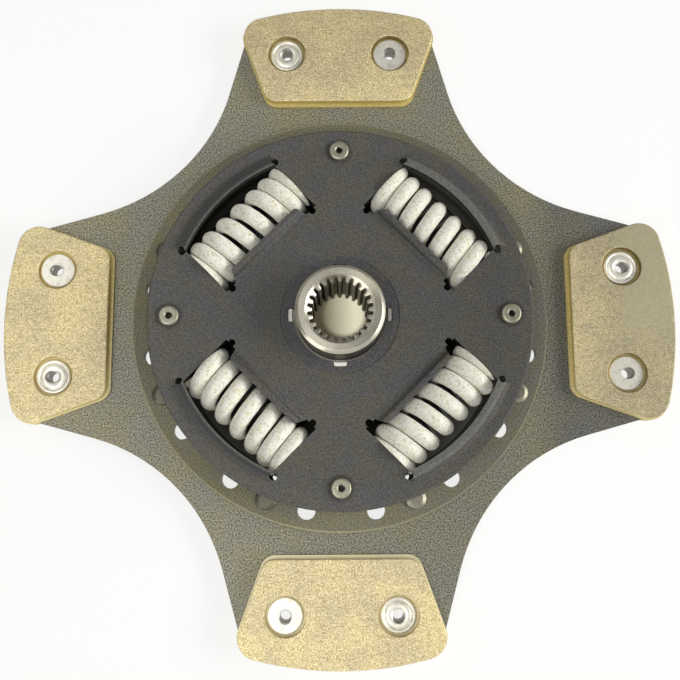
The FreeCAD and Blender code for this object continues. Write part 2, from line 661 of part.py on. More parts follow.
def hub():
    # One forging: barrel, flange and splined bore with lead-in chamfers
    e = HUB_EDGE_BREAK
    low = HUB_BOTTOM_Z
    high = HUB_TOP_Z
    outline = [
        Vec(0, 0, low),
        Vec(HUB_R - e, 0, low),
        Vec(HUB_R, 0, low + e),
        Vec(HUB_R, 0, high - e),
        Vec(HUB_R - e, 0, high),
        Vec(0, 0, high),
    ]
    barrel = revolved(closed_loop(outline))
    body = barrel.fuse(hub_flange()).removeSplitter()
    depth = (LEAD_IN_R - SPLINE_MINOR_R) * math.tan(math.radians(LEAD_IN_ANGLE))
    upper = Part.makeCone(SPLINE_MINOR_R, LEAD_IN_R, depth, Vec(0, 0, high - depth))
    lower = Part.makeCone(LEAD_IN_R, SPLINE_MINOR_R, depth, Vec(0, 0, low))
    return body.cut([spline_bore(low - CUT_PAST, high + CUT_PAST), upper, lower])


def spring_axial(turn):
    # Distance along the spring from its middle at a number of turns from there:
    # open in the middle and closed towards both ends
    closed = 2 * SPRING_WIRE_R + SPRING_CLOSED_GAP
    half_open = SPRING_ACTIVE_TURNS / 2
    opened = min(max(turn, -half_open), half_open)
    return closed * (turn - opened) + SPRING_PITCH * opened


def spring_line(corners):
    # The wire's centre line: tangent arcs that touch each side of the helical
    # polygon. Each arc starts where the last one ends.
    arcs = []
    back = (corners[1] - corners[0]).Length / 2
    for before, corner, after in zip(corners, corners[1:], corners[2:]):
        to_before = (before - corner).normalize()
        to_after = (after - corner).normalize()
        half_corner = to_before.getAngle(to_after) / 2
        bend_r = back * math.tan(half_corner)
        inward = (to_before + to_after).normalize()
        middle = corner + inward * (back / math.cos(half_corner) - bend_r)
        arcs.append(arc(corner + to_before * back, middle, corner + to_after * back))
        back = (after - corner).Length - back
    return arcs


def spring(top_shift):
    # Lies along Y at the spring's place on +X. top_shift is where, along Y, one
    # of the open turns passes over the top. The wire's middle runs out to the
    # ends' planes, where it is ground flat.
    corner_r = (SPRING_OUTER_R - SPRING_WIRE_R) / math.cos(math.pi / SPRING_ARCS_PER_TURN)
    top_turn = top_shift / SPRING_PITCH
    closed = 2 * SPRING_WIRE_R + SPRING_CLOSED_GAP
    end_turns = (SPRING_LENGTH / 2 - spring_axial(SPRING_ACTIVE_TURNS / 2)) / closed
    last = round((SPRING_ACTIVE_TURNS / 2 + end_turns) * SPRING_ARCS_PER_TURN) + 1
    corners = []
    for i in range(-last, last + 1):
        turn = i / SPRING_ARCS_PER_TURN
        phase = 2 * math.pi * (turn - top_turn)
        x = SPRING_CENTRE_R + corner_r * math.sin(phase)
        z = DAMPER_MID + corner_r * math.cos(phase)
        corners.append(Vec(x, spring_axial(turn), z))
    arcs = spring_line(corners)
    start = arcs[0].Vertexes[0].Point
    section = Part.makeCircle(SPRING_WIRE_R, start, arcs[0].tangentAt(arcs[0].FirstParameter))
    coil = Part.Wire(arcs).makePipe(Part.Face(Part.Wire([section])))
    reach = 2 * SPRING_OUTER_R
    kept = Part.makeBox(reach, SPRING_LENGTH, reach,
                        Vec(SPRING_CENTRE_R - reach / 2, -SPRING_LENGTH / 2, DAMPER_MID - reach / 2))
    return coil.common(kept)


def friction_ring():
    # Plastic ring on the hub's flange, keyed to the retainer by four lugs
    bottom = FLANGE_TOP + RUNNING_GAP
    top = FLANGE_TOP + FRICTION_RING_T
    body = ring(HUB_R + FRICTION_RING_BORE_GAP, FRICTION_R, bottom, top)
    lug = Part.makeBox(LUG_OUTER_R, LUG_WIDTH, RETAINER_TOP - LUG_BELOW_TOP - top,
                       Vec(0, -LUG_WIDTH / 2, top))
    lug = lug.common(ring(LUG_INNER_R, LUG_OUTER_R, top, RETAINER_TOP))
    return body.fuse(round_copies(lug, LUGS)).removeSplitter()


def disc_spring():
    # A slightly dished washer between the friction ring and the retainer
    low = FLANGE_TOP + FRICTION_RING_T
    high = RETAINER_BOTTOM
    outline = [
        Vec(DISC_SPRING_INNER_R, 0, low),
        Vec(DISC_SPRING_OUTER_R, 0, high - DISC_SPRING_T),
        Vec(DISC_SPRING_OUTER_R, 0, high),
        Vec(DISC_SPRING_INNER_R, 0, low + DISC_SPRING_T),
    ]
    return revolved(closed_loop(outline))


def friction_bush():
    # Flanged plastic bush: its collar centres the hub in the drive plate, and
    # its flange takes the friction below the hub's flange
    outline = [
        Vec(HUB_R + RUNNING_GAP, 0, STAR_TOP),
        Vec(PLATE_BORE_R - RUNNING_GAP, 0, STAR_TOP),
        Vec(PLATE_BORE_R - RUNNING_GAP, 0, DRIVE_TOP),
        Vec(FRICTION_R, 0, DRIVE_TOP),
        Vec(FRICTION_R, 0, FLANGE_BOTTOM - RUNNING_GAP),
        Vec(HUB_R + RUNNING_GAP, 0, FLANGE_BOTTOM - RUNNING_GAP),
    ]
    return revolved(closed_loop(outline))


def save(name, shape):
    shape.exportStep("parts/" + name + ".step")


def main():
    os.makedirs("parts", exist_ok=True)
    save("hub", hub())
    save("drive_plate", drive_plate())
    save("retainer_plate", retainer_plate())
    save("carrier_star", carrier_star())
    top_lining = lining(STAR_TOP + BACKING_T, True)
    top_backing = backing_plate(STAR_TOP)
    bottom_lining = lining(0.0, False)
    bottom_backing = backing_plate(LINING_T)
    for i in range(PADDLES):
        angle = i * 360.0 / PADDLES
        number = str(i + 1)
        save("top_pad_" + number, turned(top_lining, angle))
        save("top_backing_" + number, turned(top_backing, angle))
        save("bottom_pad_" + number, turned(bottom_lining, angle))
        save("bottom_backing_" + number, turned(bottom_backing, angle))
    for i in range(SPRINGS):
        angle = SPRING_FIRST_ANGLE + i * 360.0 / SPRINGS
        shift = SPRING_TOP_SHIFT[i % len(SPRING_TOP_SHIFT)]
        save("spring_" + str(i + 1), turned(spring(shift), angle))
    save("pad_rivets", pad_rivets())
    save("stop_rivets", stop_rivets())
    save("carrier_rivets", carrier_rivets())
    save("friction_ring", friction_ring())
    save("disc_spring", disc_spring())
    save("friction_bush", friction_bush())


main()
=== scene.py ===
import math

import bmesh
import bpy
from mathutils import Matrix, Vector, geometry, kdtree, noise


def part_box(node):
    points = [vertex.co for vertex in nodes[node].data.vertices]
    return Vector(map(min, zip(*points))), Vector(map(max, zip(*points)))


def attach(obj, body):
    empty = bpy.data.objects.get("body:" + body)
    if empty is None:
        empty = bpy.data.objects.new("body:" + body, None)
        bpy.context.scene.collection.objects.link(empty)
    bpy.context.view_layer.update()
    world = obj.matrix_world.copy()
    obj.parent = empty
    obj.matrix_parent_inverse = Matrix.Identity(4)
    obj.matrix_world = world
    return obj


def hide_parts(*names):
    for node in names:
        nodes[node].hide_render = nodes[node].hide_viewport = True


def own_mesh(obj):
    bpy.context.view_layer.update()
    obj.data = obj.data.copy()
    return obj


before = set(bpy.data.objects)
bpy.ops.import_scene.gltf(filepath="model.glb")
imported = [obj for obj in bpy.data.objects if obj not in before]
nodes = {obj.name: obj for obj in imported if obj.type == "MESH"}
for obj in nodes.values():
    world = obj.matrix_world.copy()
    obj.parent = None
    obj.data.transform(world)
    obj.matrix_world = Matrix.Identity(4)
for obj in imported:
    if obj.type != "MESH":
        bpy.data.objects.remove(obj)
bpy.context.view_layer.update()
scene = bpy.context.scene

MM = 0.001
PADDLES = 4
SPRINGS = 4

# Camera: where the photograph was taken from, with its angles in degrees
CAMERA_TARGET = Vector((-0.05, -6.65, 8.5)) * MM
CAMERA_DISTANCE = 299.39 * MM
CAMERA_AZIMUTH = -1.22
CAMERA_ELEVATION = 80.99
CAMERA_ROLL = 0.86
CAMERA_LENS = 46.997
CAMERA_SENSOR = 36.0
CAMERA_NEAR = 10 * MM

# Springs: the wire, pitch and length of the solids that they replace, with longer ground ends
SPRING_CENTRE_R = 43.4 * MM
SPRING_OUTER_R = 9.4 * MM
SPRING_WIRE_R = 2.7 * MM
SPRING_COIL_R = SPRING_OUTER_R - SPRING_WIRE_R
SPRING_LENGTH = 40.9 * MM
SPRING_PITCH = 6.85 * MM
SPRING_CLOSED_GAP = 0.1 * MM
SPRING_ACTIVE_TURNS = 3
SPRING_HALF_TURNS = 3.7
# How far from the middle a turn comes to the top, in odd and in even springs
SPRING_TOP_SHIFT = [0.9 * MM, -3.1 * MM]
SPRING_FIRST_ANGLE = 45.0
SPRING_STEPS_PER_TURN = 72
SPRING_SHARP_ANGLE = 40
WIRE_SIDES = 36
WIRE_LUMP_SIZE = 1.1 * MM
WIRE_LUMP_DEPTH = 0.05 * MM

# Places on the part where a finish or its painted light and shade changes, as radii or heights
COIN_R = 19.6 * MM
SPLINE_MAJOR_R = 10.5 * MM
LEAD_IN_R = 11.2 * MM
LEAD_IN_Z = 28.7 * MM
BARREL_R = 14.4 * MM
COVER_SOOT_AND_SHADE_R = 57.0 * MM
DRIVE_SOOT_AND_SHADE_R = 61.5 * MM
LIPS_FROM_R = 42.0 * MM
LIP_EDGE_R = 55.0 * MM
LIP_CROWN_Z = 21.3 * MM
STOP_CIRCLE_R = 55.87 * MM
STOP_HEAD_R = 3.35 * MM
STOP_HOLE_R = 0.9 * MM
CARRIER_RIVETS_FROM_R = 62.0 * MM
PAD_RIVET_X = 97.4 * MM
PAD_RIVET_Y = 18.32 * MM
PAD_RIVET_BORE_R = 1.8 * MM
PAD_RECESS_R = 7.2 * MM

# Where the lamps point
LAMP_TARGET = Vector((0, 0, 10)) * MM

# The floor, its painted shade under the plates and the painted spot of light seen through the bore
FLOOR_SIZE = 6.0
FLOOR_Z = -0.1 * MM
FLOOR_GLOW = 0.8
SHADE_R = 62.3 * MM
SHADE_Y = 6.0 * MM
BORE_GLOW_R = 16.0 * MM
SPOT_X = 1.3 * MM
SPOT_Y = 3.6 * MM
SPOT_R = 8.0 * MM

# Friction pads
PAD_STEP = 0.45 * MM
# How far out and how far down each step of a pad's rounded edge lies, in millimetres
PAD_EDGE_ROUNDS = [(0.16, 0.04), (0.29, 0.13), (0.35, 0.3), (0.36, 0.5)]
PAD_HOLE_BREAK = 0.15 * MM
PAD_SHARP_ANGLE = 50
PAD_GRAIN_SIZE = 0.9 * MM
PAD_GRAIN_DEPTH = 0.035 * MM
# Pits lie in a share of the cells of a pattern, and their radius is in its spacings
PAD_PIT_SPACING = 2.3 * MM
PAD_PIT_SHARE = 0.45
PAD_PIT_DRAW = 7.3
PAD_PIT_RADIUS = 0.16
PAD_PIT_DEPTH = 0.16 * MM
PAD_CHIP_SIZE = 2.6 * MM
PAD_CHIP_SHIFT = Vector((5, 5, 5))
PAD_CHIP_FROM = 0.25
PAD_CHIP_REACH = 1.1 * MM
PAD_CHIP_DEPTH = 0.35 * MM
PAD_PATTERN_SHIFT = 10 * MM

# Small rounds on the edges of the solids
EDGE_ROUND_STEPS = 2
EDGE_ROUND_ANGLE = 35

# How far two points may lie apart and still be one
SAME = 0.001 * MM


def srgb(red, green, blue):
    """A colour written as 0 to 255 screen values, as a shader takes it."""
    def linear(value):
        value = value / 255
        return value / 12.92 if value <= 0.04045 else ((value + 0.055) / 1.055) ** 2.4
    return (linear(red), linear(green), linear(blue), 1.0)


# Colours
COVER_OLIVE = srgb(86, 84, 72)
COVER_SLATE = srgb(82, 80, 80)
COVER_BLUE_SHADE = srgb(66, 65, 74)
COVER_RUBBED_HIGHLIGHT = srgb(122, 121, 116)
COVER_SLOPE_SHADE = srgb(38, 37, 40)
COVER_WORN = srgb(132, 130, 120)
COVER_SOOT_AND_SHADE = srgb(16, 15, 18)
DRIVE_OLIVE = srgb(135, 130, 98)
DRIVE_GREY = srgb(132, 129, 110)
DRIVE_WORN = srgb(176, 171, 142)
DRIVE_RIM_HIGHLIGHT = srgb(206, 198, 152)
DRIVE_SOOT_AND_SHADE = srgb(14, 13, 14)
DRIVE_LIGHTER_SOOT_AND_SHADE = srgb(52, 51, 46)
STAR_OLIVE = srgb(124, 120, 97)
STAR_GREY = srgb(119, 118, 107)
BRONZE_WARM = srgb(224, 208, 158)
BRONZE_COOL = srgb(205, 190, 152)
BRONZE_DARK = srgb(178, 160, 112)
BRONZE_LIGHT = srgb(238, 224, 180)
GRAPHITE = srgb(120, 102, 62)
PALE_SPECK = srgb(250, 244, 222)
GLAZE = srgb(171, 163, 134)
RECESS_SHADE = srgb(132, 114, 66)
RECESS_LIT = srgb(222, 208, 164)
WALL_SOUTH = srgb(236, 226, 186)
WALL_NORTH = srgb(216, 198, 122)
BRASS_DARK = srgb(178, 162, 100)
BRASS_LIGHT = srgb(226, 209, 142)
BRASS_PALE = srgb(222, 213, 180)
CREAM = srgb(242, 239, 222)
CREAM_LIGHT = srgb(255, 255, 250)
OCHRE_BLOTCH = srgb(218, 208, 146)
OCHRE_SPECK = srgb(146, 138, 96)
COIL_SHADE = srgb(30, 27, 26)
HUB_DARK = srgb(176, 170, 152)
HUB_LIGHT = srgb(222, 218, 202)
HUB_TURNING = srgb(138, 133, 118)
HUB_PATCH = srgb(160, 152, 126)
HUB_DIRT_AND_SHADE = srgb(84, 78, 64)
HUB_BARREL_SHADE = srgb(58, 57, 54)
HUB_SHADED = srgb(112, 112, 100)
HUB_WARM_HIGHLIGHT = srgb(255, 246, 206)
HUB_FLANGE_SHADE = srgb(16, 15, 16)
ZINC_DARK = srgb(128, 124, 104)
ZINC_LIGHT = srgb(178, 175, 156)
ZINC_PATCH = srgb(120, 114, 86)
ZINC_WORN = srgb(226, 223, 208)
ZINC_SHADE = srgb(52, 47, 34)
RIVET_HOLE_SHADE = srgb(12, 11, 10)
BRIGHT_DARK = srgb(212, 207, 188)
BRIGHT_LIGHT = srgb(250, 247, 236)
BRIGHT_PATCH = srgb(170, 166, 150)
BRIGHT_BORE_SHADE = srgb(88, 86, 80)
PLASTIC_DARK = srgb(228, 225, 212)
PLASTIC_LIGHT = srgb(254, 252, 244)
BLUED_DARK = srgb(48, 50, 56)
BLUED_LIGHT = srgb(84, 84, 86)
FLOOR_DARK = srgb(126, 126, 124)
FLOOR_LIGHT = srgb(130, 130, 128)
BORE_SHADED_WEST = srgb(118, 112, 88)
BORE_LIT_EAST = srgb(240, 236, 205)
SPOT_SHADE_BROWN = srgb(84, 74, 58)
BLACK = srgb(0, 0, 0)

# Whites, and tints that a colour is multiplied by
WHITE = (1, 1, 1, 1)
FLOOR_WHITE = (1, 1, 0.99, 1)
DRIVE_EAST_SHADE_TINT = (0.71, 0.72, 0.86, 1)
STAR_EAST_SHADE_TINT = (0.67, 0.68, 0.78, 1)
LINING_EAST_SHADE_TINT = (0.605, 0.625, 0.67, 1)
DARK_GRAIN_TINT = (0.58, 0.54, 0.42, 1)
LIGHT_GRAIN_TINT = (1.36, 1.38, 1.46, 1)


class Finish:
    """A material being made, with short calls for its nodes.

    A mask is a value from 0 to 1 at each point of the surface.
    """

    def __init__(self, name, metallic, roughness):
        self.material = bpy.data.materials.new(name)
        self.material.use_nodes = True
        self.tree = self.material.node_tree
        self.shader = self.tree.nodes["Principled BSDF"]
        self.fix("Metallic", metallic)
        self.fix("Roughness", roughness)
        self.place = self.add("ShaderNodeTexCoord").outputs["Object"]

    def add(self, kind, **settings):
        made = self.tree.nodes.new(kind)
        for name, value in settings.items():
            setattr(made, name, value)
        return made

    def fix(self, name, value):
        """A shader value that is the same all over the surface."""
        self.shader.inputs[name].default_value = value

    def feed(self, socket, value):
        if isinstance(value, bpy.types.NodeSocket):
            self.tree.links.new(value, socket)
        else:
            socket.default_value = value

    # Numbers

    def maths(self, operation, a, b=0.0):
        made = self.add("ShaderNodeMath", operation=operation)
        self.feed(made.inputs[0], a)
        self.feed(made.inputs[1], b)
        return made.outputs[0]

    def plus(self, a, b):
        return self.maths("ADD", a, b)

    def minus(self, a, b):
        return self.maths("SUBTRACT", a, b)

    def times(self, a, b):
        return self.maths("MULTIPLY", a, b)

    def larger(self, a, b):
        return self.maths("MAXIMUM", a, b)

    def smaller(self, a, b):
        return self.maths("MINIMUM", a, b)

    def levels(self, value, low, high, to_low=0.0, to_high=1.0):
        """A value carried from one range to another, and held within it."""
        made = self.add("ShaderNodeMapRange")
        self.feed(made.inputs["Value"], value)
        made.inputs["From Min"].default_value = low
        made.inputs["From Max"].default_value = high
        made.inputs["To Min"].default_value = to_low
        made.inputs["To Max"].default_value = to_high
        return made.outputs["Result"]

    def rises(self, value, start, end, top=1.0):
        """A mask that grows from 0 to its top between two values."""
        return self.levels(value, start, end, 0.0, top)

    def falls(self, value, start, end, top=1.0):
        """A mask that drops from its top to 0 between two values."""
        return self.levels(value, start, end, top, 0.0)

    # Places

    def along(self, axis):
        """The object's X, Y or Z at each point."""
        split = self.add("ShaderNodeSeparateXYZ")
        self.feed(split.inputs[0], self.place)
        return split.outputs["XYZ".index(axis)]

    def length(self, a, b):
        """The length of the arrow that goes a one way and b across it."""
        flat = self.add("ShaderNodeCombineXYZ")
        self.feed(flat.inputs[0], a)
        self.feed(flat.inputs[1], b)
        made = self.add("ShaderNodeVectorMath", operation="LENGTH")
        self.feed(made.inputs[0], flat.outputs[0])
        return made.outputs["Value"]

    def reach(self):
        """The distance from the hub's axis."""
        return self.length(self.along("X"), self.along("Y"))

    def from_axis(self, x, y):
        """The distance from the nearest of the upright axes at x, y on each paddle."""
        out_x, out_y = [self.maths("ABSOLUTE", self.along(axis)) for axis in "XY"]
        far = self.minus(self.larger(out_x, out_y), x)
        near = self.minus(self.smaller(out_x, out_y), y)
        return self.length(far, near)

    def from_spring_axis(self, middle_z):
        """The distance from the axis of the nearest spring."""
        out_x, out_y = [self.maths("ABSOLUTE", self.along(axis)) for axis in "XY"]
        across = self.times(self.plus(out_x, out_y), math.sqrt(0.5))
        return self.length(self.minus(across, SPRING_CENTRE_R),
                           self.minus(self.along("Z"), middle_z))

    def facing_up(self):
        """The upright part of the surface's direction."""
        split = self.add("ShaderNodeSeparateXYZ")
        self.feed(split.inputs[0], self.add("ShaderNodeNewGeometry").outputs["Normal"])
        return split.outputs[2]

    def edges(self, radius, low=0.02, high=0.2):
        """A mask of edges, by how far a normal rounded over a radius turns from the true one."""
        rounded = self.add("ShaderNodeBevel", samples=6)
        rounded.inputs["Radius"].default_value = radius
        flat = self.add("ShaderNodeNewGeometry")
        agree = self.add("ShaderNodeVectorMath", operation="DOT_PRODUCT")
        self.feed(agree.inputs[0], rounded.outputs["Normal"])
        self.feed(agree.inputs[1], flat.outputs["Normal"])
        return self.levels(agree.outputs["Value"], 1 - low, 1 - high)

    # Patterns and colours

    def noise(self, size, detail=3.0, rough=0.6, place=None):
        made = self.add("ShaderNodeTexNoise")
        self.feed(made.inputs["Vector"], place or self.place)
        made.inputs["Scale"].default_value = 1 / size
        made.inputs["Detail"].default_value = detail
        made.inputs["Roughness"].default_value = rough
        return made.outputs["Fac"]

    def grains(self, size, place=None):
        """Noise of one size, with little finer detail."""
        return self.noise(size, 2.0, 0.5, place)

    def mix(self, mask, a, b, blend="MIX"):
        made = self.add("ShaderNodeMix", data_type="RGBA", blend_type=blend)
        self.feed(made.inputs[0], mask)
        self.feed(made.inputs[6], a)
        self.feed(made.inputs[7], b)
        return made.outputs[2]

    def scaled(self, colour, share):
        """A colour times a share."""
        return self.mix(1.0, colour, share, "MULTIPLY")

    def tinted(self, colour, mask, tint):
        """A colour times a tint where the mask is 1."""
        return self.scaled(colour, self.mix(mask, WHITE, tint))

    def speckled(self, colour, size, strength):
        """A colour with fine lighter and darker grains."""
        share = self.levels(self.grains(size), 0.3, 0.7, 1 - strength, 1 + strength)
        return self.scaled(colour, share)

    def toned(self, colour, axis, start, end, share):
        """A colour that changes to a share of itself along an axis."""
        return self.scaled(colour, self.levels(self.along(axis), start, end, 1.0, share))

    # The end of a finish

    def coloured(self, colour):
        self.feed(self.shader.inputs["Base Color"], colour)
        return self.material

    def between(self, grain, smooth, rough):
        """A roughness that follows a grain."""
        return self.levels(grain, 0.2, 0.8, smooth, rough)

    def relieved(self, colour, roughness, relief, depth, strength):
        """The material with its colour, its roughness and a fine relief."""
        self.feed(self.shader.inputs["Roughness"], roughness)
        bump = self.add("ShaderNodeBump")
        self.feed(bump.inputs["Height"], relief)
        bump.inputs["Distance"].default_value = depth
        bump.inputs["Strength"].default_value = strength
        self.feed(self.shader.inputs["Normal"], bump.outputs["Normal"])
        return self.coloured(colour)

    def grained(self, colour, grain, smooth, rough, depth, strength):
        """The material with one grain for its roughness and its relief."""
        return self.relieved(colour, self.between(grain, smooth, rough), grain, depth, strength)


def cover_finish():
    """Dark phosphated steel of the retainer plate, bluer round the hub partly by painted shade,
    with painted light and shade on its lips and inside.
    """
    f = Finish("phosphated_cover", metallic=0.0, roughness=0.6)
    f.fix("Specular IOR Level", 0.3)
    grain = f.noise(0.4 * MM, detail=4.0, rough=0.75)
    cloud = f.noise(8 * MM)
    colour = f.mix(f.rises(cloud, 0.38, 0.62), COVER_OLIVE, COVER_SLATE)
    # Bluer round the hub on the pressed land, partly painted shade of the hub
    coined_shade = f.falls(f.reach(), COIN_R - 1.0 * MM, COIN_R, top=0.45)
    colour = f.mix(coined_shade, colour, COVER_BLUE_SHADE)
    colour = f.speckled(colour, 0.6 * MM, strength=0.45)
    # Painted shade: darker towards the east
    colour = f.toned(colour, "X", 5 * MM, 50 * MM, share=0.78)

    # The pressed lips have a worn crown with a painted highlight, stronger in the east, and in the
    # west painted shade on the outer slope
    lips = f.rises(f.reach(), LIPS_FROM_R, LIPS_FROM_R + 8 * MM)
    crown = f.times(f.rises(f.along("Z"), LIP_CROWN_Z - 0.9 * MM, LIP_CROWN_Z - 0.1 * MM), lips)
    rubbed_highlight = f.times(crown, f.levels(f.along("X"), 0.0, 20 * MM, to_low=0.2, to_high=0.45))
    colour = f.mix(rubbed_highlight, colour, f.speckled(COVER_RUBBED_HIGHLIGHT, 0.6 * MM, strength=0.3))
    # Painted shade on the outer slopes of the lips in the west
    slope = f.times(f.rises(f.reach(), LIP_EDGE_R + 0.4 * MM, LIP_EDGE_R + 0.9 * MM),
                    f.falls(f.reach(), LIP_EDGE_R + 1.8 * MM, LIP_EDGE_R + 3.4 * MM))
    raised = f.rises(f.along("Z"), LIP_CROWN_Z - 1.9 * MM, LIP_CROWN_Z - 1.5 * MM)
    west = f.falls(f.along("X"), -20 * MM, 0.0, top=0.8)
    colour = f.mix(f.times(f.times(slope, raised), west), colour, COVER_SLOPE_SHADE)
    paler = f.levels(f.reach(), LIP_EDGE_R, LIP_EDGE_R + 3 * MM, to_low=1.0, to_high=1.07)
    colour = f.scaled(colour, paler)

    # Worn edges, and a dark ring of painted shade round each stop rivet
    worn = f.times(f.edges(0.45 * MM), f.rises(grain, 0.35, 0.6))
    colour = f.mix(f.times(worn, 0.6), colour, COVER_WORN)
    to_stop = f.from_axis(STOP_CIRCLE_R, 0.0)
    ring = f.levels(to_stop, STOP_HEAD_R, STOP_HEAD_R + 1.6 * MM, to_low=0.45, to_high=1.0)
    colour = f.scaled(colour, ring)

    # A sooty painted shade on the underside and on the windows' walls
    inside = f.times(f.falls(f.reach(), COVER_SOOT_AND_SHADE_R, COVER_SOOT_AND_SHADE_R + 1 * MM),
                     f.rises(f.reach(), COIN_R, COIN_R + 2 * MM))
    soot_and_shade = f.times(inside, f.falls(f.facing_up(), 0.3, 0.6))
    colour = f.mix(f.times(soot_and_shade, 0.9), colour, COVER_SOOT_AND_SHADE)
    return f.grained(colour, grain, smooth=0.5, rough=0.7, depth=0.04 * MM, strength=0.7)


def drive_finish():
    """Olive phosphated steel of the drive plate, with a painted highlight on the rim and a sooty
    painted shade inside.
    """
    f = Finish("phosphated_drive_plate", metallic=0.0, roughness=0.55)
    f.fix("Specular IOR Level", 0.15)
    grain = f.noise(0.4 * MM, detail=4.0, rough=0.75)
    cloud = f.noise(6 * MM)
    colour = f.mix(f.rises(cloud, 0.35, 0.65), DRIVE_OLIVE, DRIVE_GREY)
    colour = f.speckled(colour, 0.5 * MM, strength=0.5)
    # Painted shade: darker and bluer towards the east, and darker towards the north
    east = f.rises(f.along("X"), 0.0, 50 * MM)
    colour = f.tinted(colour, east, DRIVE_EAST_SHADE_TINT)
    colour = f.toned(colour, "Y", 0.0, 50 * MM, share=0.9)
    colour = f.mix(f.times(f.edges(0.45 * MM), 0.7), colour, DRIVE_WORN)

    # A painted highlight: a bright line round the rim, strongest in the south-west
    rim_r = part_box("drive_plate")[1].x
    rim = f.rises(f.reach(), rim_r - 0.6 * MM, rim_r - 0.3 * MM, top=0.5)
    rim = f.times(rim, f.levels(f.along("Y"), -20 * MM, 20 * MM, to_low=1.0, to_high=0.1))
    rim = f.times(rim, f.levels(f.along("X"), 0.0, 30 * MM, to_low=1.0, to_high=0.45))
    colour = f.mix(rim, colour, DRIVE_RIM_HIGHLIGHT)

    # A sooty painted shade inside the damper, lighter in the north-east where more light falls
    soot_and_shade = f.times(f.falls(f.reach(), DRIVE_SOOT_AND_SHADE_R - 1 * MM, DRIVE_SOOT_AND_SHADE_R),
                   f.rises(f.facing_up(), -0.5, -0.1))
    north_east = f.times(f.rises(f.along("X"), 0.0, 20 * MM),
                         f.rises(f.along("Y"), -10 * MM, 20 * MM))
    soot_and_shade_colour = f.mix(north_east, DRIVE_SOOT_AND_SHADE, DRIVE_LIGHTER_SOOT_AND_SHADE)
    colour = f.mix(f.times(soot_and_shade, 0.93), colour, soot_and_shade_colour)
    return f.grained(colour, grain, smooth=0.44, rough=0.6, depth=0.04 * MM, strength=0.6)


def carrier_finish():
    """Blasted spring steel of the paddle star, with painted shade on its east paddle and painted
    light towards the north.
    """
    f = Finish("carrier_steel", metallic=0.45, roughness=0.45)
    grain = f.grains(0.42 * MM)
    cloud = f.noise(16 * MM)
    colour = f.mix(f.rises(cloud, 0.35, 0.65), STAR_OLIVE, STAR_GREY)
    colour = f.speckled(colour, 0.5 * MM, strength=0.85)
    # Painted shade on the east paddle, and painted light that lifts the north
    east = f.rises(f.along("X"), 64 * MM, 76 * MM)
    colour = f.tinted(colour, east, STAR_EAST_SHADE_TINT)
    colour = f.toned(colour, "Y", -60 * MM, 70 * MM, share=1.38)
    return f.grained(colour, grain, smooth=0.38, rough=0.56, depth=0.05 * MM, strength=0.7)


def lining_finish():
    """Sintered bronze: golden grains with graphite and pale specks, glazed on the east pad, with
    painted light and shade on the east and north pads and in the recesses.
    """
    f = Finish("sintered_bronze", metallic=0.5, roughness=0.5)
    fine = f.noise(0.3 * MM, detail=4.0, rough=0.75)
    middle = f.noise(1.7 * MM)
    cloud = f.noise(14 * MM, detail=2.0)
    colour = f.mix(f.rises(cloud, 0.38, 0.62), BRONZE_WARM, BRONZE_COOL)
    colour = f.mix(f.rises(middle, 0.5, 0.72, top=0.6), colour, BRONZE_DARK)
    colour = f.mix(f.falls(middle, 0.3, 0.5, top=0.4), colour, BRONZE_LIGHT)
    grain = f.rises(f.grains(0.5 * MM), 0.3, 0.7)
    colour = f.scaled(colour, f.mix(grain, DARK_GRAIN_TINT, LIGHT_GRAIN_TINT))
    graphite = f.rises(f.grains(0.8 * MM), 0.64, 0.74, top=0.5)
    colour = f.mix(graphite, colour, GRAPHITE)
    stretched = f.add("ShaderNodeMapping")
    f.feed(stretched.inputs["Vector"], f.place)
    stretched.inputs["Scale"].default_value = (1.1, 0.9, 1)
    pale = f.rises(f.grains(0.7 * MM, stretched.outputs["Vector"]), 0.62, 0.72, top=0.4)
    colour = f.mix(pale, colour, PALE_SPECK)

    # The east pad is darker by painted shade and greyer, and glazed towards its outside; painted
    # light and shade make the north pad lighter near the hub and darker outwards
    east = f.rises(f.along("X"), 60 * MM, 96 * MM)
    colour = f.tinted(colour, east, LINING_EAST_SHADE_TINT)
    glazed = f.times(f.rises(f.along("X"), 93 * MM, 99 * MM),
                     f.rises(f.along("Y"), -12 * MM, 0.0, top=0.7))
    colour = f.mix(glazed, colour, GLAZE)
    colour = f.toned(colour, "Y", 60 * MM, 78 * MM, share=1.09)
    colour = f.toned(colour, "Y", 80 * MM, 104 * MM, share=0.84)

    # The walls of the rivets' recesses, darker in the north and east by painted shade, and of the
    # pads' outlines
    wall = f.times(f.falls(f.facing_up(), 0.3, 0.8, top=0.8), f.rises(f.along("Z"), 0.0, 1 * MM))
    west_or_south = f.larger(f.falls(f.along("X"), -60 * MM, 0.0),
                             f.falls(f.along("Y"), -60 * MM, 0.0))
    recess = f.mix(west_or_south, RECESS_SHADE, RECESS_LIT)
    outline = f.mix(f.rises(f.along("Y"), -60 * MM, 0.0), WALL_SOUTH, WALL_NORTH)
    to_rivet = f.from_axis(PAD_RIVET_X, PAD_RIVET_Y)
    past_recess = f.rises(to_rivet, PAD_RECESS_R, PAD_RECESS_R + 0.5 * MM)
    colour = f.mix(wall, colour, f.mix(past_recess, recess, outline))
    return f.grained(colour, fine, smooth=0.44, rough=0.7, depth=0.07 * MM, strength=0.8)


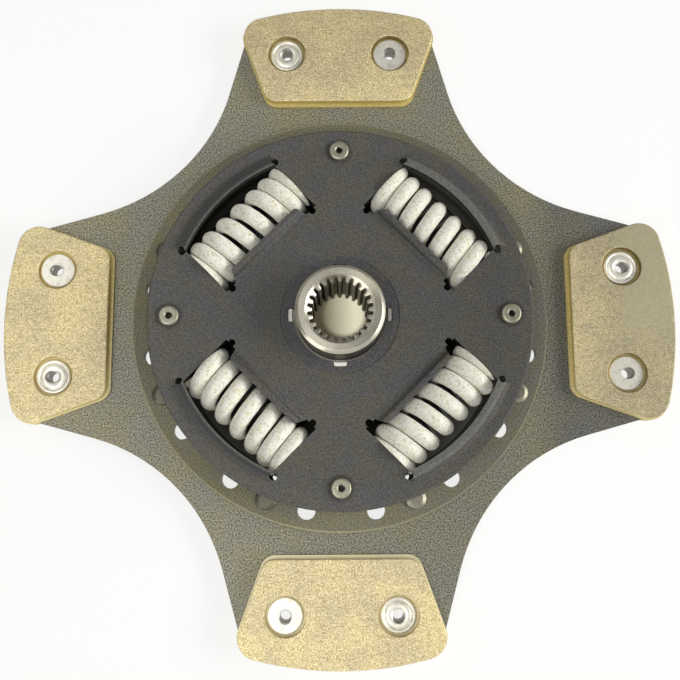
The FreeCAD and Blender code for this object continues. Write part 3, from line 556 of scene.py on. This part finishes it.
def backing_finish():
    """Steel backing plates with a thin brassy flash, paler in the south."""
    f = Finish("brassy_backing", metallic=0.3, roughness=0.5)
    grain = f.noise(0.6 * MM, rough=0.7)
    colour = f.mix(f.rises(grain, 0.3, 0.7), BRASS_DARK, BRASS_LIGHT)
    south = f.falls(f.along("Y"), -60 * MM, 0.0, top=0.8)
    colour = f.mix(south, colour, BRASS_PALE)
    return f.grained(colour, grain, smooth=0.32, rough=0.5, depth=0.02 * MM, strength=0.5)


def spring_finish(middle_z):
    """Cream paint over shot-peened wire, with ochre speckle and painted shade inside the coil."""
    f = Finish("cream_paint", metallic=0.0, roughness=0.4)
    f.fix("Diffuse Roughness", 1.0)
    fine = f.noise(0.35 * MM, rough=0.7)
    colour = f.mix(f.rises(fine, 0.3, 0.7), CREAM, CREAM_LIGHT)
    blotch = f.rises(f.noise(1.1 * MM), 0.5, 0.66, top=0.55)
    colour = f.mix(blotch, colour, OCHRE_BLOTCH)
    speck = f.rises(f.grains(0.6 * MM), 0.6, 0.68, top=0.6)
    colour = f.mix(speck, colour, OCHRE_SPECK)
    # Painted shade on the side of the wire that faces the coil's axis
    to_axis = f.from_spring_axis(middle_z)
    inner_shade = f.falls(to_axis, SPRING_COIL_R - 1.8 * MM, SPRING_COIL_R - 0.3 * MM, top=0.93)
    colour = f.mix(inner_shade, colour, COIL_SHADE)
    return f.grained(colour, fine, smooth=0.32, rough=0.5, depth=0.05 * MM, strength=0.7)


def hub_finish():
    """Machined steel with turning marks, dull, dirty and in painted shade between the splines, with
    more painted light and shade.
    """
    f = Finish("machined_hub", metallic=1.0, roughness=0.35)
    rings = f.add("ShaderNodeCombineXYZ")
    f.feed(rings.inputs[0], f.reach())
    f.feed(rings.inputs[1], f.along("Z"))
    turning = f.noise(0.15 * MM, detail=2.0, place=rings.outputs[0])
    grain = f.noise(0.5 * MM)
    patch = f.noise(3.5 * MM)
    colour = f.mix(grain, HUB_DARK, HUB_LIGHT)
    colour = f.mix(f.rises(turning, 0.3, 0.7, top=0.35), colour, HUB_TURNING)
    colour = f.mix(f.rises(patch, 0.5, 0.7, top=0.4), colour, HUB_PATCH)

    # Dirty and in painted shade between the splines, and painted shade in the north of the lead-in
    in_bore = f.falls(f.reach(), SPLINE_MAJOR_R, SPLINE_MAJOR_R + 0.3 * MM)
    splines = f.times(in_bore, f.falls(f.along("Z"), LEAD_IN_Z - 0.4 * MM, LEAD_IN_Z))
    north = f.times(f.rises(f.along("Y"), 5 * MM, 8 * MM, top=0.8),
                    f.falls(f.along("X"), 2 * MM, 6 * MM))
    north = f.times(north, f.rises(f.along("X"), -7 * MM, -4 * MM))
    lead_in = f.falls(f.reach(), LEAD_IN_R - 0.2 * MM, LEAD_IN_R + 0.1 * MM)
    dirt_and_shade = f.larger(splines, f.times(lead_in, north))
    colour = f.mix(f.times(dirt_and_shade, 0.85), colour, HUB_DIRT_AND_SHADE)

    # Painted light and shade: a dark reflection on the side of the barrel, shade and a warm
    # highlight on the top face, and a near-black flange that lies in shade
    barrel = f.times(f.rises(f.reach(), BARREL_R - 0.4 * MM, BARREL_R - 0.1 * MM),
                     f.falls(f.facing_up(), 0.2, 0.5, top=0.75))
    colour = f.mix(barrel, colour, HUB_BARREL_SHADE)
    top_face = f.rises(f.facing_up(), 0.93, 0.99)
    south_east = f.times(f.rises(f.along("X"), 2 * MM, 11 * MM, top=0.55),
                         f.falls(f.along("Y"), 3 * MM, 8 * MM))
    colour = f.mix(f.times(top_face, south_east), colour, HUB_SHADED)
    # A warm painted highlight in the north-east of the top face
    north_east = f.times(f.rises(f.along("X"), 1 * MM, 7 * MM, top=0.15),
                         f.rises(f.along("Y"), 1 * MM, 7 * MM))
    colour = f.mix(north_east, colour, HUB_WARM_HIGHLIGHT)
    # Painted shade: the flange, seen only through the windows, nearly black
    flange = f.rises(f.reach(), COIN_R, COIN_R + 1 * MM, top=0.95)
    colour = f.mix(flange, colour, HUB_FLANGE_SHADE)

    f.fix("Anisotropic", 0.75)
    f.fix("Anisotropic Rotation", 0.25)
    tangent = f.add("ShaderNodeTangent", direction_type="RADIAL", axis="Z")
    f.feed(f.shader.inputs["Tangent"], tangent.outputs[0])
    roughness = f.plus(f.between(grain, 0.26, 0.44), f.times(dirt_and_shade, 0.2))
    return f.relieved(colour, roughness, turning, depth=0.012 * MM, strength=0.6)


def rivet_finish():
    """Dull zinc plating on the rivets, with painted shade on the carrier rivets and black painted
    shade in the stop rivets' holes.
    """
    f = Finish("zinc_rivet", metallic=0.6, roughness=0.4)
    grain = f.noise(0.45 * MM, rough=0.7)
    patch = f.noise(1.5 * MM, detail=2.0)
    colour = f.mix(grain, ZINC_DARK, ZINC_LIGHT)
    colour = f.mix(f.rises(patch, 0.5, 0.7, top=0.5), colour, ZINC_PATCH)
    worn = f.edges(0.4 * MM, high=0.25)
    colour = f.mix(f.times(worn, 0.3), colour, ZINC_WORN)
    # Painted shade on the carrier rivets, deepest in the west
    carrier_shade = f.times(f.rises(f.reach(), CARRIER_RIVETS_FROM_R - 2 * MM, CARRIER_RIVETS_FROM_R),
                         f.levels(f.along("X"), -10 * MM, 10 * MM, to_low=0.7, to_high=0.25))
    colour = f.mix(carrier_shade, colour, ZINC_SHADE)
    # Painted shade, nearly black, in the stop rivets' holes
    hole = f.falls(f.from_axis(STOP_CIRCLE_R, 0.0), STOP_HOLE_R, STOP_HOLE_R + 0.4 * MM, top=0.96)
    colour = f.mix(hole, colour, RIVET_HOLE_SHADE)
    return f.grained(colour, grain, smooth=0.3, rough=0.46, depth=0.04 * MM, strength=0.6)


def bright_rivet_finish():
    """Brighter plating of the tubular pad rivets, dark in the bore by painted shade."""
    f = Finish("bright_rivet", metallic=0.6, roughness=0.4)
    grain = f.noise(0.4 * MM, rough=0.7)
    colour = f.mix(grain, BRIGHT_DARK, BRIGHT_LIGHT)
    patch = f.rises(f.noise(1.6 * MM), 0.5, 0.7, top=0.45)
    colour = f.mix(patch, colour, BRIGHT_PATCH)
    # Painted shade in each rivet's bore
    to_rivet = f.from_axis(PAD_RIVET_X, PAD_RIVET_Y)
    bore = f.falls(to_rivet, PAD_RIVET_BORE_R + 0.05 * MM, PAD_RIVET_BORE_R + 0.25 * MM, top=0.85)
    colour = f.mix(bore, colour, BRIGHT_BORE_SHADE)
    return f.grained(colour, grain, smooth=0.32, rough=0.5, depth=0.02 * MM, strength=0.6)


def plastic_finish():
    """Off-white moulded plastic of the friction ring and bush, darker in the north and east by
    painted shade.
    """
    f = Finish("friction_plastic", metallic=0.0, roughness=0.45)
    grain = f.noise(0.7 * MM)
    colour = f.mix(grain, PLASTIC_DARK, PLASTIC_LIGHT)
    # Painted shade: darker towards the north and east
    colour = f.toned(colour, "X", 8 * MM, 14 * MM, share=0.4)
    colour = f.toned(colour, "Y", 8 * MM, 14 * MM, share=0.2)
    return f.grained(colour, grain, smooth=0.38, rough=0.55, depth=0.02 * MM, strength=0.5)


def spring_steel_finish():
    """Dark blued steel of the disc spring."""
    f = Finish("blued_spring_steel", metallic=0.8, roughness=0.35)
    grain = f.noise(0.5 * MM)
    colour = f.mix(grain, BLUED_DARK, BLUED_LIGHT)
    return f.grained(colour, grain, smooth=0.28, rough=0.45, depth=0.015 * MM, strength=0.5)


def soften(piece, width):
    """Small rounds on a rigid node's edges."""
    weld = piece.modifiers.new("weld", "WELD")
    weld.merge_threshold = SAME
    bevel = piece.modifiers.new("edge_round", "BEVEL")
    bevel.width = width
    bevel.segments = EDGE_ROUND_STEPS
    bevel.limit_method = "ANGLE"
    bevel.angle_limit = math.radians(EDGE_ROUND_ANGLE)
    bevel.harden_normals = True


def paint(piece, material):
    piece.data.materials.clear()
    piece.data.materials.append(material)


def add_piece(name, mesh, material):
    piece = bpy.data.objects.new(name, mesh)
    scene.collection.objects.link(piece)
    paint(piece, material)
    return piece


def smooth_mesh(name, bm, sharp_degrees):
    """The finished mesh of a piece, smooth but for edges sharper than an angle."""
    bmesh.ops.recalc_face_normals(bm, faces=bm.faces)
    mesh = bpy.data.meshes.new(name)
    bm.to_mesh(mesh)
    bm.free()
    mesh.shade_smooth()
    mesh.set_sharp_from_angle(angle=math.radians(sharp_degrees))
    return mesh


def join_rings(bm, rings):
    """Faces between closed rings that have as many points each."""
    for before, after in zip(rings, rings[1:]):
        for i in range(len(before)):
            j = (i + 1) % len(before)
            bm.faces.new((before[i], before[j], after[j], after[i]))


def turned(degrees):
    return Matrix.Rotation(math.radians(degrees), 4, "Z")


def spring_axial(turn):
    """Distance along a spring from its middle at a number of turns from there."""
    closed = 2 * SPRING_WIRE_R + SPRING_CLOSED_GAP
    half_open = SPRING_ACTIVE_TURNS / 2
    opened = min(max(turn, -half_open), half_open)
    return closed * (turn - opened) + SPRING_PITCH * opened


def wire_ring(bm, turn, top_turn, middle_z):
    """One ring of points round the wire."""
    def centre(at):
        phase = 2 * math.pi * (at - top_turn)
        across = SPRING_CENTRE_R + SPRING_COIL_R * math.sin(phase)
        return Vector((across, spring_axial(at), middle_z + SPRING_COIL_R * math.cos(phase)))

    small = 0.5 / SPRING_STEPS_PER_TURN
    along = (centre(turn + small) - centre(turn - small)).normalized()
    phase = 2 * math.pi * (turn - top_turn)
    outward = Vector((math.sin(phase), 0, math.cos(phase)))
    sideways = along.cross(outward).normalized()
    ring = []
    for i in range(WIRE_SIDES):
        around = 2 * math.pi * i / WIRE_SIDES
        way = outward * math.cos(around) + sideways * math.sin(around)
        point = centre(turn) + way * SPRING_WIRE_R
        lump = noise.noise(point / WIRE_LUMP_SIZE) - 1
        ring.append(bm.verts.new(point + way * lump * WIRE_LUMP_DEPTH))
    return ring


def coil(name, top_shift, angle, middle_z):
    """A closed and ground coil spring that lies across the disc's radius."""
    top_turn = top_shift / SPRING_PITCH
    steps = round(2 * SPRING_HALF_TURNS * SPRING_STEPS_PER_TURN)
    bm = bmesh.new()
    rings = []
    for i in range(steps + 1):
        turn = (2 * i / steps - 1) * SPRING_HALF_TURNS
        rings.append(wire_ring(bm, turn, top_turn, middle_z))
    join_rings(bm, rings)
    bm.faces.new(rings[0])
    bm.faces.new(rings[-1])
    for side in (-1, 1):
        everything = bm.verts[:] + bm.edges[:] + bm.faces[:]
        cut = bmesh.ops.bisect_plane(bm, geom=everything, plane_co=(0, side * SPRING_LENGTH / 2, 0),
                                     plane_no=(0, side, 0), clear_outer=True)
        rim = [e for e in cut["geom_cut"] if isinstance(e, bmesh.types.BMEdge)]
        bmesh.ops.contextual_create(bm, geom=rim)
    bmesh.ops.transform(bm, matrix=turned(angle), verts=bm.verts)
    return smooth_mesh(name, bm, SPRING_SHARP_ANGLE)


def add_springs():
    """The painted coils, which take the place of the spring nodes and hang from the springs body.
    """
    low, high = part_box("spring_1")
    middle_z = (low.z + high.z) / 2
    material = spring_finish(middle_z)
    for i in range(SPRINGS):
        node = "spring_" + str(i + 1)
        angle = SPRING_FIRST_ANGLE + i * 360 / SPRINGS
        shift = SPRING_TOP_SHIFT[i % len(SPRING_TOP_SHIFT)]
        piece = add_piece("coil_" + str(i + 1), coil(node, shift, angle, middle_z), material)
        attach(piece, "springs")
        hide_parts(node)
        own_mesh(piece)
        paint(nodes[node], material)


def face_loops(node, face_up):
    """The loops of points round a CAD pad's wearing face, and the face's height."""
    bm = bmesh.new()
    bm.from_mesh(node.data)
    bmesh.ops.remove_doubles(bm, verts=bm.verts, dist=SAME)
    heights = [v.co.z for v in bm.verts]
    face_z = max(heights) if face_up else min(heights)
    flat = set(f for f in bm.faces if all(abs(v.co.z - face_z) < SAME for v in f.verts))
    rim = {}
    for edge in bm.edges:
        if sum(1 for f in edge.link_faces if f in flat) == 1:
            for here, there in (edge.verts, reversed(edge.verts)):
                rim.setdefault(here, []).append(there)
    loops = []
    while rim:
        here = next(iter(rim))
        loop = []
        while here in rim:
            loop.append(Vector((here.co.x, here.co.y)))
            nexts = [v for v in rim.pop(here) if v in rim]
            if not nexts:
                break
            here = nexts[0]
        loops.append(loop)
    bm.free()
    return loops, face_z


def even_loop(loop, step):
    """The same closed loop with points an even step apart, turning left."""
    area = sum(a.x * b.y - b.x * a.y for a, b in zip(loop, loop[1:] + loop[:1]))
    if area < 0:
        loop = loop[::-1]
    ends = loop + loop[:1]
    reach = [0.0]
    for a, b in zip(ends, ends[1:]):
        reach.append(reach[-1] + (b - a).length)
    count = round(reach[-1] / step)
    points = []
    k = 0
    for i in range(count):
        want = reach[-1] * i / count
        while reach[k + 1] < want:
            k += 1
        share = (want - reach[k]) / (reach[k + 1] - reach[k])
        points.append(ends[k].lerp(ends[k + 1], share))
    return points


def moved_out(loop, distance):
    """A closed loop that turns left, moved outwards by a distance."""
    moved = []
    for before, here, after in zip(loop[-1:] + loop[:-1], loop, loop[1:] + loop[:1]):
        along = (after - before).normalized()
        moved.append(here + Vector((along.y, -along.x)) * distance)
    return moved


def inside(loop, point):
    """Whether a point lies in a round loop."""
    middle = sum(loop, Vector((0, 0))) / len(loop)
    return (point - middle).length < (loop[0] - middle).length


def inner_points(low, high, holes):
    """Points in rows that are staggered by half a step, over a pad's box but not its holes."""
    points = []
    for row in range(round((high.y - low.y) / PAD_STEP)):
        shift = 0.25 + 0.5 * (row % 2)
        y = low.y + (row + 0.5) * PAD_STEP
        for column in range(round((high.x - low.x) / PAD_STEP)):
            point = Vector((low.x + (column + shift) * PAD_STEP, y))
            if not any(inside(hole, point) for hole in holes):
                points.append(point)
    return points


def filled(bm, outer, holes, between, height):
    """Triangles from an outer loop to the holes in it, through some points between."""
    points = []
    edges = []
    for loop in [outer] + holes:
        first = len(points)
        points += loop
        edges += [(first + i, first + (i + 1) % len(loop)) for i in range(len(loop))]
    result = geometry.delaunay_2d_cdt(points + between, edges, [], 1, SAME)
    verts = [bm.verts.new((p.x, p.y, height)) for p in result[0]]
    for corners in result[2]:
        middle = sum((result[0][i] for i in corners), Vector((0, 0))) / len(corners)
        if not any(inside(hole, middle) for hole in holes):
            bm.faces.new([verts[i] for i in corners])
    loose = [v for v in verts if not v.link_faces]
    for v in loose:
        bm.verts.remove(v)
    return [v for v in verts if v.is_valid]


def add_wall(bm, rings):
    """A wall through rings of places, which have as many points each."""
    join_rings(bm, [[bm.verts.new(p) for p in ring] for ring in rings])


def worn_depth(point, edge_distance, seed):
    """How far the sintered face lies below its flat at one point."""
    place = Vector((point.x, point.y, seed * PAD_PATTERN_SHIFT))
    grain = 0.5 + 0.5 * noise.noise(place / PAD_GRAIN_SIZE)
    depth = grain * PAD_GRAIN_DEPTH
    distances, centres = noise.voronoi(place / PAD_PIT_SPACING)
    if noise.cell(centres[0] * PAD_PIT_DRAW) < PAD_PIT_SHARE:
        depth += max(0.0, 1 - distances[0] / PAD_PIT_RADIUS) * PAD_PIT_DEPTH
    chip = noise.noise(place / PAD_CHIP_SIZE + PAD_CHIP_SHIFT)
    near = max(0.0, 1 - edge_distance / PAD_CHIP_REACH)
    depth += max(0.0, chip - PAD_CHIP_FROM) * near * PAD_CHIP_DEPTH
    return depth


def wear(verts, loops, face_z, down, seed):
    """Sinks a flat face's points by its wear, and gives each point's height by its place."""
    edge_points = [p for loop in loops for p in loop]
    tree = kdtree.KDTree(len(edge_points))
    for i, p in enumerate(edge_points):
        tree.insert((p.x, p.y, 0), i)
    tree.balance()
    heights = {}
    for v in verts:
        gap = tree.find((v.co.x, v.co.y, 0))[2]
        v.co.z = face_z + down * worn_depth(v.co, gap, seed)
        heights[place_key(v.co)] = v.co.z
    return heights


def place_key(point):
    return (round(point.x / SAME), round(point.y / SAME))


def sintered_pad(name, node, face_up, seed):
    """A friction pad with a grainy, pitted face and worn edges."""
    loops, face_z = face_loops(node, face_up)
    low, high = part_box(node.name)
    back_z = low.z if face_up else high.z
    down = -1 if face_up else 1
    loops = [even_loop(loop, PAD_STEP) for loop in loops]
    loops.sort(key=lambda loop: -len(loop))
    outer = loops[0]
    back_holes = loops[1:]
    holes = [moved_out(loop, PAD_HOLE_BREAK) for loop in back_holes]
    bm = bmesh.new()
    verts = filled(bm, outer, holes, inner_points(low, high, holes), face_z)
    heights = wear(verts, [outer] + holes, face_z, down, seed)

    def crest(p, drop=0.0):
        return heights.get(place_key(p), face_z) + down * drop

    rings = [[Vector((p.x, p.y, crest(p))) for p in outer]]
    for out, drop in PAD_EDGE_ROUNDS:
        ring = moved_out(outer, out * MM)
        rings.append([Vector((p.x, p.y, crest(q, drop * MM))) for p, q in zip(ring, outer)])
    back_outer = moved_out(outer, PAD_EDGE_ROUNDS[-1][0] * MM)
    rings.append([Vector((p.x, p.y, back_z)) for p in back_outer])
    add_wall(bm, rings)
    for hole, wall in zip(holes, back_holes):
        rings = [[Vector((p.x, p.y, crest(p))) for p in hole]]
        rings.append([Vector((p.x, p.y, face_z + down * PAD_HOLE_BREAK)) for p in wall])
        rings.append([Vector((p.x, p.y, back_z)) for p in wall])
        add_wall(bm, rings)
    filled(bm, back_outer, back_holes, [], back_z)
    bmesh.ops.remove_doubles(bm, verts=bm.verts, dist=SAME)
    return smooth_mesh(name, bm, PAD_SHARP_ANGLE)


def add_pads():
    material = lining_finish()
    for side, first_seed in (("top", 0), ("bottom", PADDLES)):
        for i in range(PADDLES):
            node = side + "_pad_" + str(i + 1)
            name = side + "_lining_" + str(i + 1)
            mesh = sintered_pad(name, nodes[node], side == "top", first_seed + i)
            piece = add_piece(name, mesh, material)
            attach(piece, "disc")
            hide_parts(node)
            paint(nodes[node], material)


def dress_nodes():
    """Materials and edge rounds, in millimetres, for the CAD nodes that show as they are."""
    steel = rivet_finish()
    plastic = plastic_finish()
    backing = backing_finish()
    looks = {
        "hub": (hub_finish(), 0.3),
        "drive_plate": (drive_finish(), 0.15),
        "retainer_plate": (cover_finish(), 0.2),
        "carrier_star": (carrier_finish(), 0.12),
        "pad_rivets": (bright_rivet_finish(), 0.0),
        "stop_rivets": (steel, 0.15),
        "carrier_rivets": (steel, 0.35),
        "friction_ring": (plastic, 0.1),
        "friction_bush": (plastic, 0.0),
        "disc_spring": (spring_steel_finish(), 0.0),
    }
    for i in range(PADDLES):
        looks["top_backing_" + str(i + 1)] = (backing, 0.12)
        looks["bottom_backing_" + str(i + 1)] = (backing, 0.12)
    for name, (material, round_mm) in looks.items():
        paint(nodes[name], material)
        if round_mm:
            soften(nodes[name], round_mm * MM)


def add_camera():
    azimuth = math.radians(CAMERA_AZIMUTH)
    elevation = math.radians(CAMERA_ELEVATION)
    roll = math.radians(CAMERA_ROLL)
    back = Vector((math.cos(elevation) * math.sin(azimuth),
                   -math.cos(elevation) * math.cos(azimuth), math.sin(elevation)))
    level = Vector((math.cos(azimuth), math.sin(azimuth), 0))
    upward = back.cross(level)
    right = level * math.cos(roll) + upward * math.sin(roll)
    up = upward * math.cos(roll) - level * math.sin(roll)
    data = bpy.data.cameras.new("camera")
    data.lens = CAMERA_LENS
    data.sensor_width = CAMERA_SENSOR
    data.clip_start = CAMERA_NEAR
    camera = bpy.data.objects.new("camera", data)
    scene.collection.objects.link(camera)
    camera.matrix_world = Matrix((right, up, back)).transposed().to_4x4()
    camera.location = CAMERA_TARGET + back * CAMERA_DISTANCE
    scene.camera = camera


def add_world(ambient):
    """White to the camera and in reflections, softer as a light."""
    world = bpy.data.worlds.new("studio")
    world.use_nodes = True
    tree = world.node_tree
    tree.nodes.clear()
    path = tree.nodes.new("ShaderNodeLightPath")
    seen = path.outputs["Is Camera Ray"]
    for name in ("Is Glossy Ray", "Is Transmission Ray"):
        either = tree.nodes.new("ShaderNodeMath")
        either.operation = "MAXIMUM"
        tree.links.new(seen, either.inputs[0])
        tree.links.new(path.outputs[name], either.inputs[1])
        seen = either.outputs[0]
    light = tree.nodes.new("ShaderNodeBackground")
    light.inputs["Strength"].default_value = ambient
    white = tree.nodes.new("ShaderNodeBackground")
    white.inputs["Strength"].default_value = 1.0
    for background in (light, white):
        background.inputs["Color"].default_value = WHITE
    mix = tree.nodes.new("ShaderNodeMixShader")
    tree.links.new(seen, mix.inputs[0])
    tree.links.new(light.outputs[0], mix.inputs[1])
    tree.links.new(white.outputs[0], mix.inputs[2])
    out = tree.nodes.new("ShaderNodeOutputWorld")
    tree.links.new(mix.outputs[0], out.inputs[0])
    scene.world = world


def add_softbox(name, place, size, power):
    data = bpy.data.lights.new(name, "AREA")
    data.shape = "RECTANGLE"
    data.size, data.size_y = size
    data.energy = power
    lamp = bpy.data.objects.new(name, data)
    scene.collection.objects.link(lamp)
    lamp.location = place
    lamp.rotation_euler = (LAMP_TARGET - Vector(place)).to_track_quat("-Z", "Y").to_euler()


def add_floor():
    """A pale floor that glows so that it stays white, but not under the plates, where it holds a
    painted shadow, with painted light and shade seen through the bore.
    """
    bpy.ops.mesh.primitive_plane_add(size=FLOOR_SIZE, location=(0, 0, FLOOR_Z))
    floor = bpy.context.object
    floor.name = "floor"
    f = Finish("pale_floor", metallic=0.0, roughness=0.9)
    f.fix("Specular IOR Level", 0.0)
    cloud = f.noise(200 * MM, detail=2.0)
    material = f.coloured(f.mix(cloud, FLOOR_DARK, FLOOR_LIGHT))

    # Seen through the bore, painted light and shade: dull in the west, brown shade round a bright
    # spot
    across = f.rises(f.along("X"), -6 * MM, 5 * MM)
    glow = f.mix(across, BORE_SHADED_WEST, BORE_LIT_EAST)
    to_spot = f.length(f.minus(f.along("X"), SPOT_X), f.minus(f.along("Y"), SPOT_Y))
    past_spot = f.rises(to_spot, SPOT_R - 1.5 * MM, SPOT_R + 0.4 * MM)
    glow = f.mix(past_spot, glow, SPOT_SHADE_BROWN)

    # Painted shadow, black, under the plates, and white past them
    in_bore = f.falls(f.reach(), BORE_GLOW_R, BORE_GLOW_R + 2 * MM)
    glow = f.mix(in_bore, BLACK, glow)
    from_shade = f.length(f.along("X"), f.minus(f.along("Y"), SHADE_Y))
    glow = f.mix(f.rises(from_shade, SHADE_R - 0.5 * MM, SHADE_R), glow, FLOOR_WHITE)
    f.feed(f.shader.inputs["Emission Color"], glow)
    f.fix("Emission Strength", FLOOR_GLOW)
    paint(floor, material)


def add_card(name, place, side, shape=(1.0, 1.0)):
    """A glowing card that is seen only in reflections, its finish and its glow's socket."""
    bpy.ops.mesh.primitive_plane_add(size=side, location=place)
    card = bpy.context.object
    card.name = name
    card.scale = (shape[0], shape[1], 1)
    f = Finish(name, metallic=0.0, roughness=1.0)
    glow = f.add("ShaderNodeEmission")
    f.tree.links.new(glow.outputs[0], f.tree.nodes["Material Output"].inputs["Surface"])
    paint(card, f.material)
    for ray in ("camera", "diffuse", "transmission", "shadow", "volume_scatter"):
        setattr(card, "visible_" + ray, False)
    return card, f, glow.inputs["Strength"]


def add_overhead_card():
    """A level card high above: light in the south-west, dark in the east."""
    card, f, strength = add_card("overhead_card", place=(0, 0, 1.0), side=2.4)
    slant = f.plus(f.along("X"), f.times(f.along("Y"), 0.5))
    f.feed(strength, f.levels(slant, -0.45, 0.45, to_low=1.45, to_high=0.15))


def add_upright_card(name, place, shape, level):
    """An upright card that faces the hub's axis."""
    card, f, strength = add_card(name, place, 1.0, shape)
    inwards = Vector((0, 0, place[2])) - Vector(place)
    card.rotation_euler = inwards.to_track_quat("Z", "Y").to_euler()
    f.feed(strength, level)


def add_studio():
    """The floor, the cards that the metal reflects, and the lamps, placed in metres."""
    add_floor()
    add_overhead_card()
    add_upright_card("west_flag", place=(-0.9, 0.1, 0.3), shape=(1.6, 0.6), level=0.02)
    add_upright_card("north_flag", place=(0.0, 0.95, 0.3), shape=(1.6, 0.6), level=0.04)
    add_upright_card("south_west_card", place=(-0.75, -0.75, 0.2), shape=(0.8, 0.45), level=3.6)
    add_world(ambient=0.30)
    add_softbox("west_box", place=(-0.22, -0.22, 0.6), size=(0.35, 0.35), power=1.1)
    add_softbox("east_box", place=(1.41, -0.12, 0.75), size=(1.2, 0.55), power=20.5)


dress_nodes()
add_pads()
add_springs()
add_camera()
add_studio()
scene.view_settings.view_transform = "Standard"
